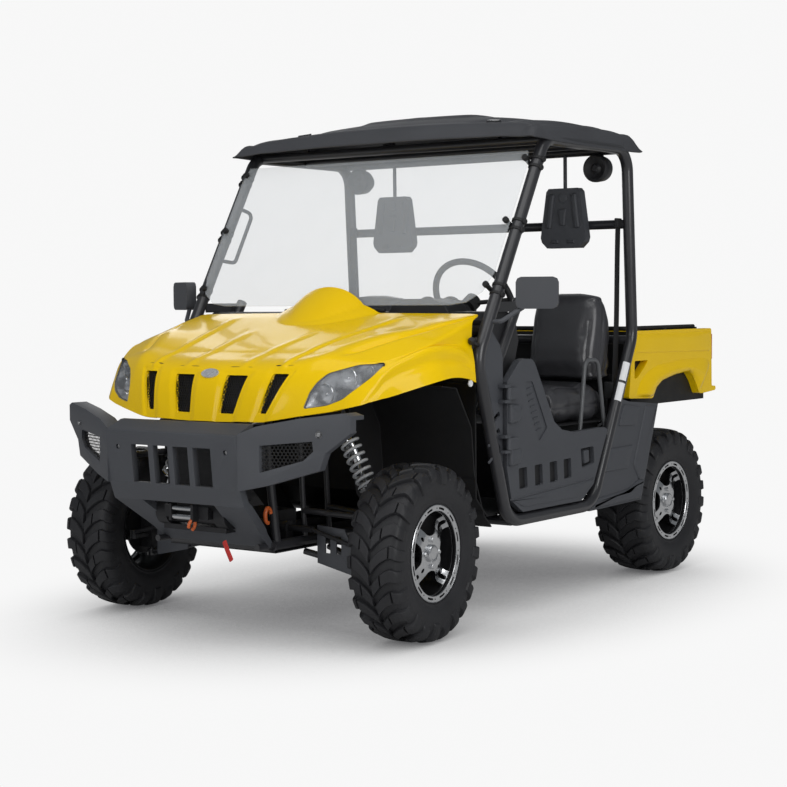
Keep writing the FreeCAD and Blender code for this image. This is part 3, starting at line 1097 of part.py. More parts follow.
BED_SIDE = [(576, 788), (590, 838), (614, 905), (676, 1066), (BED_REAR_Y, BED_TOP_Z + 3), (BED_REAR_Y + 6, 806),
            (LENGTH / 2, 806), (LENGTH / 2, 786), (1318, 778), (1272, 778), (1231, 834), (1190, 872),
            (1164, 884), (1026, 872), (907, 852), (852, 826), (822, 778)]
bed_side = slab_x(BED_SIDE, BED_IN_X + GAP, BED_OUT_X)
bed_vent = slab_x([(718, 944), (800, 954), (712, 806)], BED_IN_X - 2, BED_OUT_X + 2)
bed_side = bed_side.cut([bed_vent, block(600, 800, BED_REAR_Y + 20, LENGTH, 830, 1100)])
nodes["bed_sides"] = Part.makeCompound([p.cut(hoops) for p in both(bed_side)])
TAILGATE_T = 20.0
TAILGATE_X = 652.0
TAIL_HINGE_Y = BED_REAR_Y + 30
TAIL_FOOT_Z = TAIL_HINGE_Z + 12
tail_skin = block(-TAILGATE_X, TAILGATE_X, BED_REAR_Y + 6, BED_REAR_Y + 6 + TAILGATE_T, TAIL_FOOT_Z, 1062)
tail_pin_ears = []
for x in (-500, 500):
    tail_pin_ears.append(join([
        rod((x - 30, TAIL_HINGE_Y, TAIL_HINGE_Z), (x + 30, TAIL_HINGE_Y, TAIL_HINGE_Z), 11.0),
        block(x - 30, x + 30, BED_REAR_Y + 14, BED_REAR_Y + 6 + TAILGATE_T + 4, TAIL_HINGE_Z, 830)]))
tailgate = join([tail_skin] + tail_pin_ears)
tail_bores = [rod((x - 31, TAIL_HINGE_Y, TAIL_HINGE_Z), (x + 31, TAIL_HINGE_Y, TAIL_HINGE_Z), 5 + BEARING_GAP)
              for x in (-500, 500)]
nodes["tailgate"] = tailgate.cut(tail_bores)
hinge_ears = []
for x in (-500, 500):
    pin = rod((x - 46, TAIL_HINGE_Y, TAIL_HINGE_Z), (x + 46, TAIL_HINGE_Y, TAIL_HINGE_Z), 5.0)
    ears = [block(x + s * 39 - 7, x + s * 39 + 7, BED_REAR_Y - 2, TAIL_HINGE_Y + 8, TAIL_HINGE_Z - 10,
                  TAIL_HINGE_Z + 8) for s in (-1, 1)]
    hinge_ears.append(join([pin] + ears))
nodes["bed_tub"] = join(bed_body + hinge_ears)
lamp_body = block(BED_IN_X - 26, BED_OUT_X - 2, BED_REAR_Y + GAP, BED_REAR_Y + 18, 930, 1044)
nodes["tail_lamps"] = Part.makeCompound([p.cut([nodes["bed_sides"],
                                                nodes["bed_tub"]]) for p in both(lamp_body)])

# ---------------------------------------------------------------- export
os.makedirs("parts", exist_ok=True)
for name, shape in nodes.items():
    shape.exportStep("parts/" + name + ".step")
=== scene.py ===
import bpy
import bmesh
import math
import numpy as np
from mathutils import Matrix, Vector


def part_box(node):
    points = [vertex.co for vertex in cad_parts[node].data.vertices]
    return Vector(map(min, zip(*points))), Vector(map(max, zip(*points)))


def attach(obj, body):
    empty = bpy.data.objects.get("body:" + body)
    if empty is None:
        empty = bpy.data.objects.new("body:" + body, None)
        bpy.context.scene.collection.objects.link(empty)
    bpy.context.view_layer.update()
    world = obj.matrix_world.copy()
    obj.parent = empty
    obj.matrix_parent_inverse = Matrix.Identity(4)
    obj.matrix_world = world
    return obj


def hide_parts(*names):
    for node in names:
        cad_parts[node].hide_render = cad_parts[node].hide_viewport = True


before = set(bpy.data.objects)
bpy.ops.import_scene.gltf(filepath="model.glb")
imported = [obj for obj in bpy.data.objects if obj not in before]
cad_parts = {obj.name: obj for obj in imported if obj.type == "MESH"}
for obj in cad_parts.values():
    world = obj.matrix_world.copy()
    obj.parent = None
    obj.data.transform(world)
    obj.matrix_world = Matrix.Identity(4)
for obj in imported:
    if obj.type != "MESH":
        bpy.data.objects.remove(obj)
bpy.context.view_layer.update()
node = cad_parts

# ------------------------------------------------------------------ stand, lamps and camera
# A pale floor under a plain white surround, with broad soft lamps above and in front.
# The floor's shadow is painted: seen by the camera, the floor is an emitted colour that darkens by ambient
# occlusion only where the vehicle shades it from the open room.


class Signal:
    """One output of a material's node tree; arithmetic on it adds Math nodes."""

    def __init__(self, finish, socket):
        self.finish = finish
        self.socket = socket

    def maths(self, operation, *values):
        return self.finish.node("ShaderNodeMath", {"operation": operation}, *values)

    def __add__(self, other):
        return self.maths("ADD", self, other)

    def __sub__(self, other):
        return self.maths("SUBTRACT", self, other)

    def __rsub__(self, other):
        return self.maths("SUBTRACT", other, self)

    def __mul__(self, other):
        return self.maths("MULTIPLY", self, other)

    def __pow__(self, other):
        return self.maths("POWER", self, other)

    def ramp(self, low, high):
        """0 below low, 1 above high, and a smooth rise between them."""
        return self.finish.node("ShaderNodeMapRange", {"interpolation_type": "SMOOTHSTEP"},
                                self, low, high, 0.0, 1.0)

    def wave(self):
        return self.maths("SINE", self)


class Finish:
    """A material: one shader with fixed sockets, and nodes for what varies over it. tones are two
    colours mixed by a noise, rough is (gain, base) of a noise on the roughness, and relief is
    (distance, strength) of a noise on the normal; each ends with the scale and detail of its noise."""

    def __init__(self, name, color, roughness, metallic=0.0, tones=None, rough=None, relief=None, **fixed):
        self.material = bpy.data.materials.new(name)
        self.material.use_nodes = True
        self.tree = self.material.node_tree
        self.shader = self.tree.nodes["Principled BSDF"]
        self.shader.inputs["Base Color"].default_value = (*color, 1.0)
        for socket, value in dict(Roughness=roughness, Metallic=metallic, **fixed).items():
            self.shader.inputs[socket.replace("_", " ")].default_value = value
        if tones:
            self.feed("Base Color", self.blend(*tones[:2], self.noise(*tones[2:])))
        if rough:
            self.feed("Roughness", self.noise(*rough[2:]) * rough[0] + rough[1])
        if relief:
            self.bump(self.noise(*relief[2:]), *relief[:2])

    def feed(self, socket, signal):
        self.tree.links.new(signal.socket, self.shader.inputs[socket])

    def node(self, kind, settings, *values, output=0, **named):
        """Adds one node: its settings first, then its sockets by order or by name."""
        made = self.tree.nodes.new(kind)
        for key, value in settings.items():
            setattr(made, key, value)
        pairs = list(zip(made.inputs, values))
        pairs += [(made.inputs[key.replace("_", " ")], value) for key, value in named.items()]
        for socket, value in pairs:
            if isinstance(value, Signal):
                self.tree.links.new(value.socket, socket)
            else:
                socket.default_value = value
        return Signal(self, made.outputs[output])

    def place(self):
        return self.node("ShaderNodeTexCoord", {}, output="Object")

    def axes(self):
        """X, Y and Z of the surface point, each as its own signal."""
        split = self.tree.nodes.new("ShaderNodeSeparateXYZ")
        self.tree.links.new(self.place().socket, split.inputs[0])
        return [Signal(self, out) for out in split.outputs]

    def noise(self, scale, detail=3.0):
        return self.node("ShaderNodeTexNoise", {}, Vector=self.place(), Scale=scale, Detail=detail)

    def blend(self, low, high, share):
        """Colour from low to high by share."""
        made = self.tree.nodes.new("ShaderNodeMix")
        made.data_type = "RGBA"
        for index, value in ((0, share), (6, low), (7, high)):
            if isinstance(value, Signal):
                self.tree.links.new(value.socket, made.inputs[index])
            else:
                made.inputs[index].default_value = (*value, 1.0)
        return Signal(self, made.outputs[2])

    def bump(self, height, distance, strength=1.0):
        """Surface relief of a height signal, in metres."""
        self.feed("Normal", self.node("ShaderNodeBump", {}, Strength=strength, Distance=distance,
                                      Height=height))


def placed(name, mesh):
    """Object of a mesh, in the scene."""
    made = bpy.data.objects.new(name, mesh)
    bpy.context.scene.collection.objects.link(made)
    return made


def solid_mesh(name, points, faces):
    """Mesh object from an array of points and an array of quads or triangles."""
    points = np.asarray(points, dtype=np.float32).reshape(-1, 3)
    faces = np.asarray(faces, dtype=np.int32)
    mesh = bpy.data.meshes.new(name)
    mesh.vertices.add(len(points))
    mesh.vertices.foreach_set("co", points.ravel())
    mesh.loops.add(faces.size)
    mesh.loops.foreach_set("vertex_index", faces.ravel())
    mesh.polygons.add(len(faces))
    mesh.polygons.foreach_set("loop_start", np.arange(0, faces.size, faces.shape[1], dtype=np.int32))
    mesh.update(calc_edges=True)
    return placed(name, mesh)


FLOOR_HALF = 60.0
floor = solid_mesh("floor", [(x * FLOOR_HALF, y * FLOOR_HALF, 0.0)
                             for x, y in ((-1, -1), (1, -1), (1, 1), (-1, 1))], [(0, 1, 2, 3)])
floor_paint = Finish("floor_paint", (0.86, 0.86, 0.86), 0.9)
shade = floor_paint.node("ShaderNodeAmbientOcclusion", {"samples": 12}, Distance=0.95, output="AO")
fx, fy, _ = floor_paint.axes()
open_room = fx.maths("SQRT", fx * fx * 1.3 + fy * fy * 0.62).ramp(1.00, 1.85)
lit = (shade ** 1.10) * (1.0 - open_room) + open_room
# Painted shadow: the emitted floor colour runs from dark grey under the vehicle to white, by ambient
# occlusion.
painted_floor_shadow = floor_paint.blend((0.075, 0.075, 0.079), (0.935, 0.935, 0.935), lit)
seen, mirrored, passed = [floor_paint.node("ShaderNodeLightPath", {}, output=ray)
                          for ray in ("Is Camera Ray", "Is Glossy Ray", "Is Transmission Ray")]
glow = floor_paint.node("ShaderNodeEmission", {}, Color=painted_floor_shadow, Strength=1.0 - mirrored * 0.6)
mirror = floor_paint.node("ShaderNodeBsdfGlossy", {}, Color=(0.5, 0.5, 0.5, 1.0), Roughness=0.12)
wet = floor_paint.node("ShaderNodeMixShader", {}, (1.0 - open_room) * 0.05, glow, mirror)
shown = floor_paint.node("ShaderNodeMath", {"operation": "ADD", "use_clamp": True}, seen, mirrored + passed)
both = floor_paint.node("ShaderNodeMixShader", {}, shown,
                        Signal(floor_paint, floor_paint.shader.outputs[0]), wet)
floor_paint.tree.links.new(both.socket, floor_paint.tree.nodes["Material Output"].inputs["Surface"])
floor.data.materials.append(floor_paint.material)

# The surround: white where it is looked at, a gentle grey where it lights the vehicle, and darker in
# reflections, so that the lamps alone draw the highlights.
world = bpy.data.worlds.new("surround")
bpy.context.scene.world = world
world.use_nodes = True
room = world.node_tree
gentle = room.nodes["Background"]
white, dim = [room.nodes.new("ShaderNodeBackground") for _ in range(2)]
for ground, color, strength in ((gentle, (0.93, 0.96, 1.0), 0.50), (white, (0.935, 0.935, 0.935), 1.0),
                                (dim, (0.90, 0.95, 1.0), 0.16)):
    ground.inputs["Color"].default_value = (*color, 1.0)
    ground.inputs["Strength"].default_value = strength
path = room.nodes.new("ShaderNodeLightPath")
looked_at = room.nodes.new("ShaderNodeMath")
looked_at.operation, looked_at.use_clamp = "ADD", True
shine, either = [room.nodes.new("ShaderNodeMixShader") for _ in range(2)]
for source, target in ((path.outputs["Is Camera Ray"], looked_at.inputs[0]),
                       (path.outputs["Is Transmission Ray"], looked_at.inputs[1]),
                       (path.outputs["Is Glossy Ray"], shine.inputs[0]),
                       (gentle.outputs[0], shine.inputs[1]), (dim.outputs[0], shine.inputs[2]),
                       (looked_at.outputs[0], either.inputs[0]), (shine.outputs[0], either.inputs[1]),
                       (white.outputs[0], either.inputs[2]),
                       (either.outputs[0], room.nodes["World Output"].inputs["Surface"])):
    room.links.new(source, target)

# name: (place, aim, width, height, power)
LAMPS = {
    "roof_lamp": ((1.2, -1.6, 4.6), (0.0, 0.0, 0.9), 4.2, 3.0, 52.0),
    "near_lamp": ((5.2, -2.2, 2.6), (0.3, -0.2, 0.8), 2.6, 2.6, 74.0),
    "nose_lamp": ((0.2, -6.0, 2.4), (0.0, -0.9, 0.7), 3.4, 1.6, 46.0),
    "tail_lamp_soft": ((-3.8, 4.2, 3.0), (0.0, 0.4, 0.9), 3.0, 2.4, 42.0),
}
for name, (place, aim, wide, tall, power) in LAMPS.items():
    lamp = bpy.data.lights.new(name, "AREA")
    lamp.shape = "RECTANGLE"
    lamp.size, lamp.size_y, lamp.energy = wide, tall, power
    holder = placed(name, lamp)
    holder.location = place
    reach = np.array(aim) - np.array(place)
    flat = math.hypot(reach[0], reach[1])
    holder.rotation_euler = (math.atan2(flat, -reach[2]), 0.0, math.atan2(-reach[0], reach[1]))

CAMERA_PLACE = (4.2132, -5.8795, 1.2108)
CAMERA_AZIMUTH = math.radians(36.064)
CAMERA_RISE = math.radians(3.095)
CAMERA_ROLL = math.radians(-0.427)
CAMERA_LENS = 79.26
camera = placed("camera", bpy.data.cameras.new("camera"))
camera.data.lens = CAMERA_LENS
camera.data.sensor_width = 36.0
camera.data.clip_end = 300.0
camera.location = CAMERA_PLACE
bpy.context.scene.camera = camera
back = np.array([math.sin(CAMERA_AZIMUTH) * math.cos(CAMERA_RISE),
                 -math.cos(CAMERA_AZIMUTH) * math.cos(CAMERA_RISE), math.sin(CAMERA_RISE)])
right = np.array([math.cos(CAMERA_AZIMUTH), math.sin(CAMERA_AZIMUTH), 0.0])
up = np.cross(back, right)
turned_right = math.cos(CAMERA_ROLL) * right + math.sin(CAMERA_ROLL) * up
turned_up = -math.sin(CAMERA_ROLL) * right + math.cos(CAMERA_ROLL) * up
basis = camera.matrix_world.to_3x3()
for column, axis in enumerate((turned_right, turned_up, back)):
    for line in range(3):
        basis[line][column] = axis[line]
camera.rotation_euler = basis.to_euler()
bpy.context.scene.view_settings.view_transform = "Standard"

# ------------------------------------------------------------------ roll cage
# Round steel tube, bent cold, welded and powder coated satin black. A side of the cage is one
# closed hoop, and straight tubes bolt across between the two. A wide brace stiffens each side.
cage_coat = Finish("cage_coat", (0.020, 0.020, 0.023), 0.30,
                   tones=((0.014, 0.014, 0.016), (0.034, 0.034, 0.038), 5.0, 4.0),
                   rough=(0.16, 0.27, 5.0, 4.0), relief=(0.0004, 0.35, 420.0, 2.0), Coat_Weight=0.6,
                   Coat_Roughness=0.16)


def dress(finish, *names):
    """Gives a finish to the solids that keep their own shape."""
    for name in names:
        mesh = node[name].data
        mesh.materials.clear()
        mesh.materials.append(finish.material)


def fit(piece, finish, body, stands_for=(), crease=32.0):
    """Finish, smooth shading up to a crease angle and body of a new piece, with the solids it stands for
    hidden.
    """
    mesh = piece.data
    mesh.materials.append(finish.material)
    mesh.polygons.foreach_set("use_smooth", np.ones(len(mesh.polygons), dtype=bool))
    mesh.set_sharp_from_angle(angle=math.radians(crease))
    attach(piece, body)
    if stands_for:
        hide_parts(*stands_for)


def lattice(rows, cols, close_rows=False, close_cols=False):
    """Quads between neighbours of a rows by cols grid of points."""
    i = np.arange(rows if close_rows else rows - 1)[:, None]
    j = np.arange(cols if close_cols else cols - 1)[None, :]
    below, after = (i + 1) % rows, (j + 1) % cols
    quads = np.stack([i * cols + j, i * cols + after, below * cols + after, below * cols + j], axis=-1)
    return quads.reshape(-1, 4)


def tidy(piece, gap=1e-5):
    """Merges points that meet at seams and poles and turns all faces outwards."""
    work = bmesh.new()
    work.from_mesh(piece.data)
    bmesh.ops.remove_doubles(work, verts=work.verts, dist=gap)
    bmesh.ops.recalc_face_normals(work, faces=work.faces)
    work.to_mesh(piece.data)
    work.free()
    return piece


def joined(parts):
    """One (points, quads) pair from several, with the indices shifted along."""
    counts = np.cumsum([0] + [len(points) for points, _ in parts[:-1]])
    points = np.concatenate([points for points, _ in parts])
    return points, np.concatenate([quads + shift for (_, quads), shift in zip(parts, counts)])


def unit(vectors):
    """Each vector of an array at length one."""
    return vectors / np.maximum(np.linalg.norm(vectors, axis=-1, keepdims=True), 1e-9)


def bent(corners, radius, steps=8):
    """Route with a round bend at each inner corner: start and end of the bend lie radius * tan(turn / 2)
    from the corner, and the points between follow the quadratic curve through them."""
    corners = np.array(corners, dtype=float)
    t = np.linspace(0, 1, steps)[:, None]
    route = [corners[:1]]
    for a, b, c in zip(corners, corners[1:], corners[2:]):
        back, ahead = unit(a - b), unit(c - b)
        turn = math.acos(np.clip(-(back @ ahead), -1, 1))
        reach = radius * math.tan(turn / 2)
        start, end = b + back * reach, b + ahead * reach
        weight = math.cos(turn / 2)
        share = ((1 - t) ** 2 + 2 * weight * t * (1 - t) + t ** 2)
        route.append(((1 - t) ** 2 * start + 2 * weight * t * (1 - t) * b + t ** 2 * end) / share)
    return np.concatenate(route + [corners[-1:]])


def pipe(route, radius, side, sides=20, flat=1.0):
    """Round bar along a route: centre + r (cos a * side + sin a * lift), with lift = tangent x side.
    The ends close in a shallow dome. flat scales the bar along side."""
    route = np.asarray(route, dtype=float)
    tangent = unit(np.gradient(route, axis=0))
    first, last = route[0], route[-1]
    lead = np.array([first - tangent[0] * radius * d for d in (0.35, 0.33, 0.2)])
    tail = np.array([last + tangent[-1] * radius * d for d in (0.2, 0.33, 0.35)])
    path = np.concatenate([lead, route, tail])
    size = np.concatenate([[0.0, 0.55, 0.88], np.ones(len(route)), [0.88, 0.55, 0.0]]) * radius
    tangent = unit(np.concatenate([np.repeat(tangent[:1], 3, 0), tangent, np.repeat(tangent[-1:], 3, 0)]))
    side = np.broadcast_to(np.asarray(side, dtype=float), tangent.shape)
    one = unit(side - np.sum(side * tangent, axis=1, keepdims=True) * tangent)
    two = np.cross(tangent, one)
    a = np.linspace(0, 2 * np.pi, sides, endpoint=False)[None, :, None]
    ring = np.cos(a) * one[:, None] * flat + np.sin(a) * two[:, None]
    points = path[:, None] + size[:, None, None] * ring
    return points.reshape(-1, 3), lattice(len(path), sides, close_cols=True)


def twin(pair):
    """A (points, quads) pair and its mirror image on the vehicle's other side."""
    points, quads = pair
    return joined([(points, quads), (points * (-1, 1, 1), quads[:, ::-1])])


def build(name, pairs, finish, body, stands_for=(), crease=40.0, both=True):
    """Piece from (points, quads) pairs, with their mirror images unless both is False."""
    made = tidy(solid_mesh(name, *(twin(joined(pairs)) if both else joined(pairs))))
    fit(made, finish, body, stands_for, crease)
    return made


def walled(piece, thickness):
    """Gives an open sheet a wall behind its face."""
    wall = piece.modifiers.new("wall", "SOLIDIFY")
    wall.thickness, wall.offset = thickness, -1.0


dress(cage_coat, "cage_hoop_left", "cage_hoop_right", "cage_cross_tubes", "chassis_frame", "grab_handle",
      "front_arms", "rear_arms", "hitch_receiver", "cage_braces")

# ------------------------------------------------------------------ roof
# One vacuum formed sheet of charcoal plastic with a fine leathery grain. Its middle is raised in a
# long plateau, valleys run back from the front corners, and the rim is flanged outwards.
roof_plastic = Finish("roof_plastic", (0.035, 0.036, 0.040), 0.62,
                      tones=((0.032, 0.033, 0.037), (0.064, 0.066, 0.073), 3.0, 5.0))
grain = roof_plastic.node("ShaderNodeTexVoronoi", {}, Vector=roof_plastic.place(), Scale=330.0)
roof_plastic.feed("Roughness", grain * 0.12 + 0.52)
roof_plastic.bump(grain + roof_plastic.noise(900.0, 2.0) * 0.5, 0.0008, 0.5)


def hermite(knots, values, at):
    """Smooth curve through values at knots: the cubic of each span from end values and slopes."""
    knots, values = np.asarray(knots, float), np.asarray(values, float)
    slope = np.gradient(values, knots, axis=0)
    span = np.clip(np.searchsorted(knots, at, side="right") - 1, 0, len(knots) - 2)
    width = knots[span + 1] - knots[span]
    t = (at - knots[span]) / width
    extra = (slice(None),) + (None,) * (values.ndim - 1)
    t, width = t[extra], width[extra]
    return ((2 * t**3 - 3 * t**2 + 1) * values[span] + (t**3 - 2 * t**2 + t) * width * slope[span]
            + (3 * t**2 - 2 * t**3) * values[span + 1] + (t**3 - t**2) * width * slope[span + 1])


def rise(value, low, high):
    """0 below low, 1 above high, with a smooth step between."""
    t = np.clip((value - low) / (high - low), 0, 1)
    return t * t * (3 - 2 * t)


def between(value, low, full, fade, high):
    """1 from full to fade, 0 below low and above high, with smooth steps between."""
    return rise(value, low, full) * (1 - rise(value, fade, high))


def hump(value, middle, width):
    """exp(-((value - middle) / width)^2)."""
    return np.exp(-((value - middle) / width) ** 2)


ROOF_X = (0.0, 0.300, 0.520, 0.690, 0.744, 0.758)
ROOF_Y = (-0.218, -0.190, -0.090, 0.080, 0.320, 0.510, 0.622, 0.654)
ROOF_Z = ((1.856, 1.855, 1.850, 1.843, 1.839, 1.836), (1.895, 1.893, 1.886, 1.872, 1.858, 1.834),
          (1.935, 1.930, 1.917, 1.895, 1.866, 1.830), (1.972, 1.964, 1.940, 1.908, 1.870, 1.822),
          (1.982, 1.974, 1.948, 1.912, 1.870, 1.812), (1.968, 1.960, 1.938, 1.904, 1.868, 1.816),
          (1.912, 1.908, 1.898, 1.880, 1.860, 1.824), (1.862, 1.860, 1.855, 1.848, 1.842, 1.832))
ROOF_SKIN = 0.005
roof_y = np.unique(np.concatenate([np.linspace(ROOF_Y[0], ROOF_Y[-1], 150), ROOF_Y]))
roof_x = np.unique(np.concatenate([np.linspace(0, 0.744, 90), np.linspace(0.744, 0.758, 6)]))
roof_rows = hermite(ROOF_Y, ROOF_Z, roof_y)
roof_half = hermite(ROOF_X, roof_rows.T, roof_x).T
yy, xx = np.meshgrid(roof_y, roof_x, indexing="ij")
plateau = (1 - rise(xx, 0.235, 0.275)) * between(yy, 0.02, 0.09, 0.50, 0.56)
valley = hump(xx, 0.42 + 0.32 * (yy + 0.2), 0.055) * between(yy, -0.17, -0.05, 0.2, 0.5)
ribs = hump(xx, 0.13, 0.010) * between(yy, 0.10, 0.14, 0.44, 0.48)
roof_half = roof_half - 0.0122 + 0.010 * plateau - 0.014 * valley - 0.005 * ribs
roof_half = roof_half + 0.005 * rise(xx, 0.70, 0.76)
lip = 1 - rise(np.minimum(np.minimum(yy - ROOF_Y[0], ROOF_Y[-1] - yy), ROOF_X[-1] - xx), 0.004, 0.010)
roof_half = roof_half * (1 - lip) + np.maximum(roof_half, 1.838 - 0.018 * rise(xx, 0.60, 0.76)) * lip
top = np.stack([xx, yy, roof_half], axis=-1)
sheet = np.concatenate([top[:, :0:-1] * (-1, 1, 1), top], axis=1)
roof = solid_mesh("roof_shell", sheet.reshape(-1, 3), lattice(*sheet.shape[:2]))
walled(roof, ROOF_SKIN)
fit(roof, roof_plastic, "chassis", ("roof",), 50.0)

# ------------------------------------------------------------------ windshield
# One bent-free sheet of clear polycarbonate with a pale edge, held off the two windshield posts by
# rubber faced clamps, three to a side.
screen = Finish("screen_sheet", (0.72, 0.75, 0.77), 0.06, rough=(0.05, 0.03, 6.0), Alpha=0.20, IOR=1.45)
screen.feed("Alpha", screen.noise(6.0) * 0.04 + 0.19)
dress(screen, "windshield")
clamp_rubber = Finish("clamp_rubber", (0.014, 0.014, 0.015), 0.6, rough=(0.2, 0.5, 60.0),
                      relief=(0.0004, 0.3, 700.0))
dress(clamp_rubber, "windshield_clamps")

# ------------------------------------------------------------------ hood
# One glossy yellow moulded shell: bonnet, nose and both front wings, hinged at the foot of the
# nose. Two creases run along each side, an air dome swells at the cowl, and four slanted slots
# with recessed surrounds are moulded through the nose.
yellow_gloss = Finish("yellow_gloss", (0.74, 0.47, 0.002), 0.34, Coat_Weight=0.3, Coat_Roughness=0.06,
                      Specular_IOR_Level=0.10)
flake = yellow_gloss.node("ShaderNodeTexVoronoi", {}, Vector=yellow_gloss.place(), Scale=1500.0,
                          output="Color")
flake_tone = yellow_gloss.node("ShaderNodeSeparateColor", {}, flake)
sparkle = flake_tone * 0.35 + yellow_gloss.noise(2.2, 2.0) * 0.35 + 0.15
yellow_gloss.feed("Base Color", yellow_gloss.blend((0.74, 0.455, 0.0004), (0.93, 0.625, 0.0015), sparkle))
yellow_gloss.feed("Roughness", flake_tone * 0.10 + 0.24)
yellow_gloss.bump(flake_tone, 0.00010, 0.12)

HOOD_LINES = (
    ((0, -518, 1158), (0, -620, 1134), (0, -730, 1106), (0, -880, 1066), (0, -1050, 1018),
     (0, -1212, 953), (0, -1262, 780)),
    ((420, -518, 1155), (410, -620, 1132), (385, -730, 1104), (350, -880, 1066), (325, -1035, 1022),
     (318, -1190, 959), (290, -1260, 786)),
    ((688, -492, 1152), (640, -640, 1128), (590, -735, 1108), (535, -870, 1087),
     (455, -1020, 1040), (425, -1142, 986), (415, -1222, 808)),
    ((698, -565, 1126), (701, -650, 1104), (701, -740, 1078), (697, -860, 1042),
     (640, -992, 1000), (532, -1098, 964), (520, -1178, 824)),
    ((712, -592, 1050), (706, -655, 1046), (700, -745, 1042), (694, -862, 1032),
     (646, -996, 990), (588, -1100, 925), (568, -1158, 836)),
    ((736, -606, 975), (732, -662, 1008), (722, -750, 1026), (710, -862, 1026),
     (656, -1006, 974), (626, -1078, 900), (602, -1126, 846)),
    ((745, -612, 908), (745, -668, 924), (745, -755, 930), (738, -856, 918),
     (662, -1006, 876), (641, -1054, 866), (620, -1096, 855)),
)
HOOD_WALL = 0.0045
CREASE_SHARE = 0.13
# Dome lobes: height, length, half width, taper, fade, arch, edge.
DOME_Y = -0.500
DOME_LOBES = ((0.050, 0.215, 0.246, 1.4, 1.6, 2.6, 0.9), (0.056, 0.190, 0.170, 1.5, 1.15, 2, 0.85))
# Slot outlines as (x, z): foot inner, foot outer, head outer, head inner.
SLOTS = (
    ((0.069, 0.808), (0.137, 0.808), (0.173, 0.946), (0.078, 0.946)),
    ((0.252, 0.813), (0.284, 0.813), (0.345, 0.954), (0.281, 0.954)),
)
LAMP = ((0.423, 0.834), (0.433, 0.890), (0.450, 0.926), (0.478, 0.957), (0.564, 0.986), (0.640, 0.990),
        (0.618, 0.944), (0.590, 0.908), (0.552, 0.868), (0.502, 0.846))


def soften(values, width, axis):
    """Running average of the values along an axis, with a bell of the given width in samples."""
    reach = int(3 * width)
    bell = np.exp(-0.5 * (np.arange(-reach, reach + 1) / width) ** 2)
    bell /= bell.sum()
    head = 2 * np.take(values, [0], axis) - np.flip(np.take(values, range(1, reach + 1), axis), axis)
    tail = 2 * np.take(values, [-1], axis) - np.flip(np.take(values, range(-reach - 1, -1), axis), axis)
    padded = np.concatenate([head, values, tail], axis)
    return np.apply_along_axis(lambda line: np.convolve(line, bell, "valid"), axis, padded)


def hood_sheet(across, along):
    """Left half of the shell as points [along, across]: each lengthwise line is a smooth curve
    through its stations, and straight spans between the lines are rounded into soft creases."""
    lines = np.array(HOOD_LINES, float) / 1000
    spans = len(lines) - 1
    v = np.linspace(0, lines.shape[1] - 1, along)
    rails = np.stack([hermite(np.arange(lines.shape[1]), line, v) for line in lines])
    u = np.linspace(0, spans, across)
    low = np.clip(u.astype(int), 0, spans - 1)
    share = (u - low)[:, None, None]
    straight = rails[low] * (1 - share) + rails[low + 1] * share
    mirrored = np.concatenate([straight[:0:-1] * (-1, 1, 1), straight])
    rounded = soften(mirrored, across / spans * CREASE_SHARE, 0)[across - 1:]
    half = np.swapaxes(rounded, 0, 1)
    half[:, 0, 0] = 0.0
    x, y, z = half[..., 0], half[..., 1], half[..., 2]
    # The dome: each lobe adds height (1 - s^fade) (1 - w^arch)^edge. s is the share of its length ahead
    # of the cowl, and w the share of its half width, which narrows as the root of 1 - s^taper.
    swell = np.zeros_like(x)
    for height, length, width, taper, fade, arch, edge in DOME_LOBES:
        s = np.clip((DOME_Y - y) / length, 0, 1)
        w = np.minimum(1, x / (width * np.sqrt(np.maximum(0.02, 1 - s ** taper))))
        swell += height * (1 - s ** fade) * (1 - w ** arch) ** edge
    half[..., 2] += np.maximum(swell, 0)
    # Recessed bands of the slots: below the crest, each follows its slot's lean to the nose's foot.
    normal = unit(np.cross(np.gradient(half, axis=0), np.gradient(half, axis=1)))
    normal *= np.sign(normal[..., 2:3] + 1e-9) * -1
    sunk = np.zeros_like(x)
    for foot_in, foot_out, head_out, head_in in SLOTS:
        slope = (z - foot_in[1]) / (head_in[1] - foot_in[1])
        inner = foot_in[0] + (head_in[0] - foot_in[0]) * slope
        outer = foot_out[0] + (head_out[0] - foot_out[0]) * slope
        band = between(x, inner - 0.022, inner - 0.012, outer + 0.012, outer + 0.022)
        sunk += band * (1 - rise(z, head_in[1] + 0.006, head_in[1] + 0.020))
    nose = rise(-y, 1.10, 1.13)
    # A groove runs under the upper crease, a low strake along each side of the top, and the wing swells.
    groove = hump(u, 2.28, 0.085) * between(-y, 0.50, 0.60, 0.98, 1.08)
    strake = hump(u, 1.0, 0.055) * between(-y, 0.56, 0.66, 1.14, 1.22) * 1.5
    strake += hump(u, 0.42, 0.05) * between(-y, 0.74, 0.86, 1.16, 1.22) * 0.9
    wing = hump(u, 4.7, 0.45) * between(-y, 0.62, 0.72, 0.86, 1.02)
    half += normal * (sunk * nose * 0.0055 + groove * 0.012 - strake * 0.005 - wing * 0.009)[..., None]
    # A lip turns out along the wing's lower edge, and a shallow hollow lies above it.
    half[..., 0] -= 0.008 * hump(u, 5.35, 0.20) * between(-y, 0.60, 0.66, 1.02, 1.10)
    return half


HOOD_ACROSS, HOOD_ALONG = 181, 170
hood_half = hood_sheet(HOOD_ACROSS, HOOD_ALONG)
hood_full = np.concatenate([hood_half[:, :0:-1] * (-1, 1, 1), hood_half], axis=1)


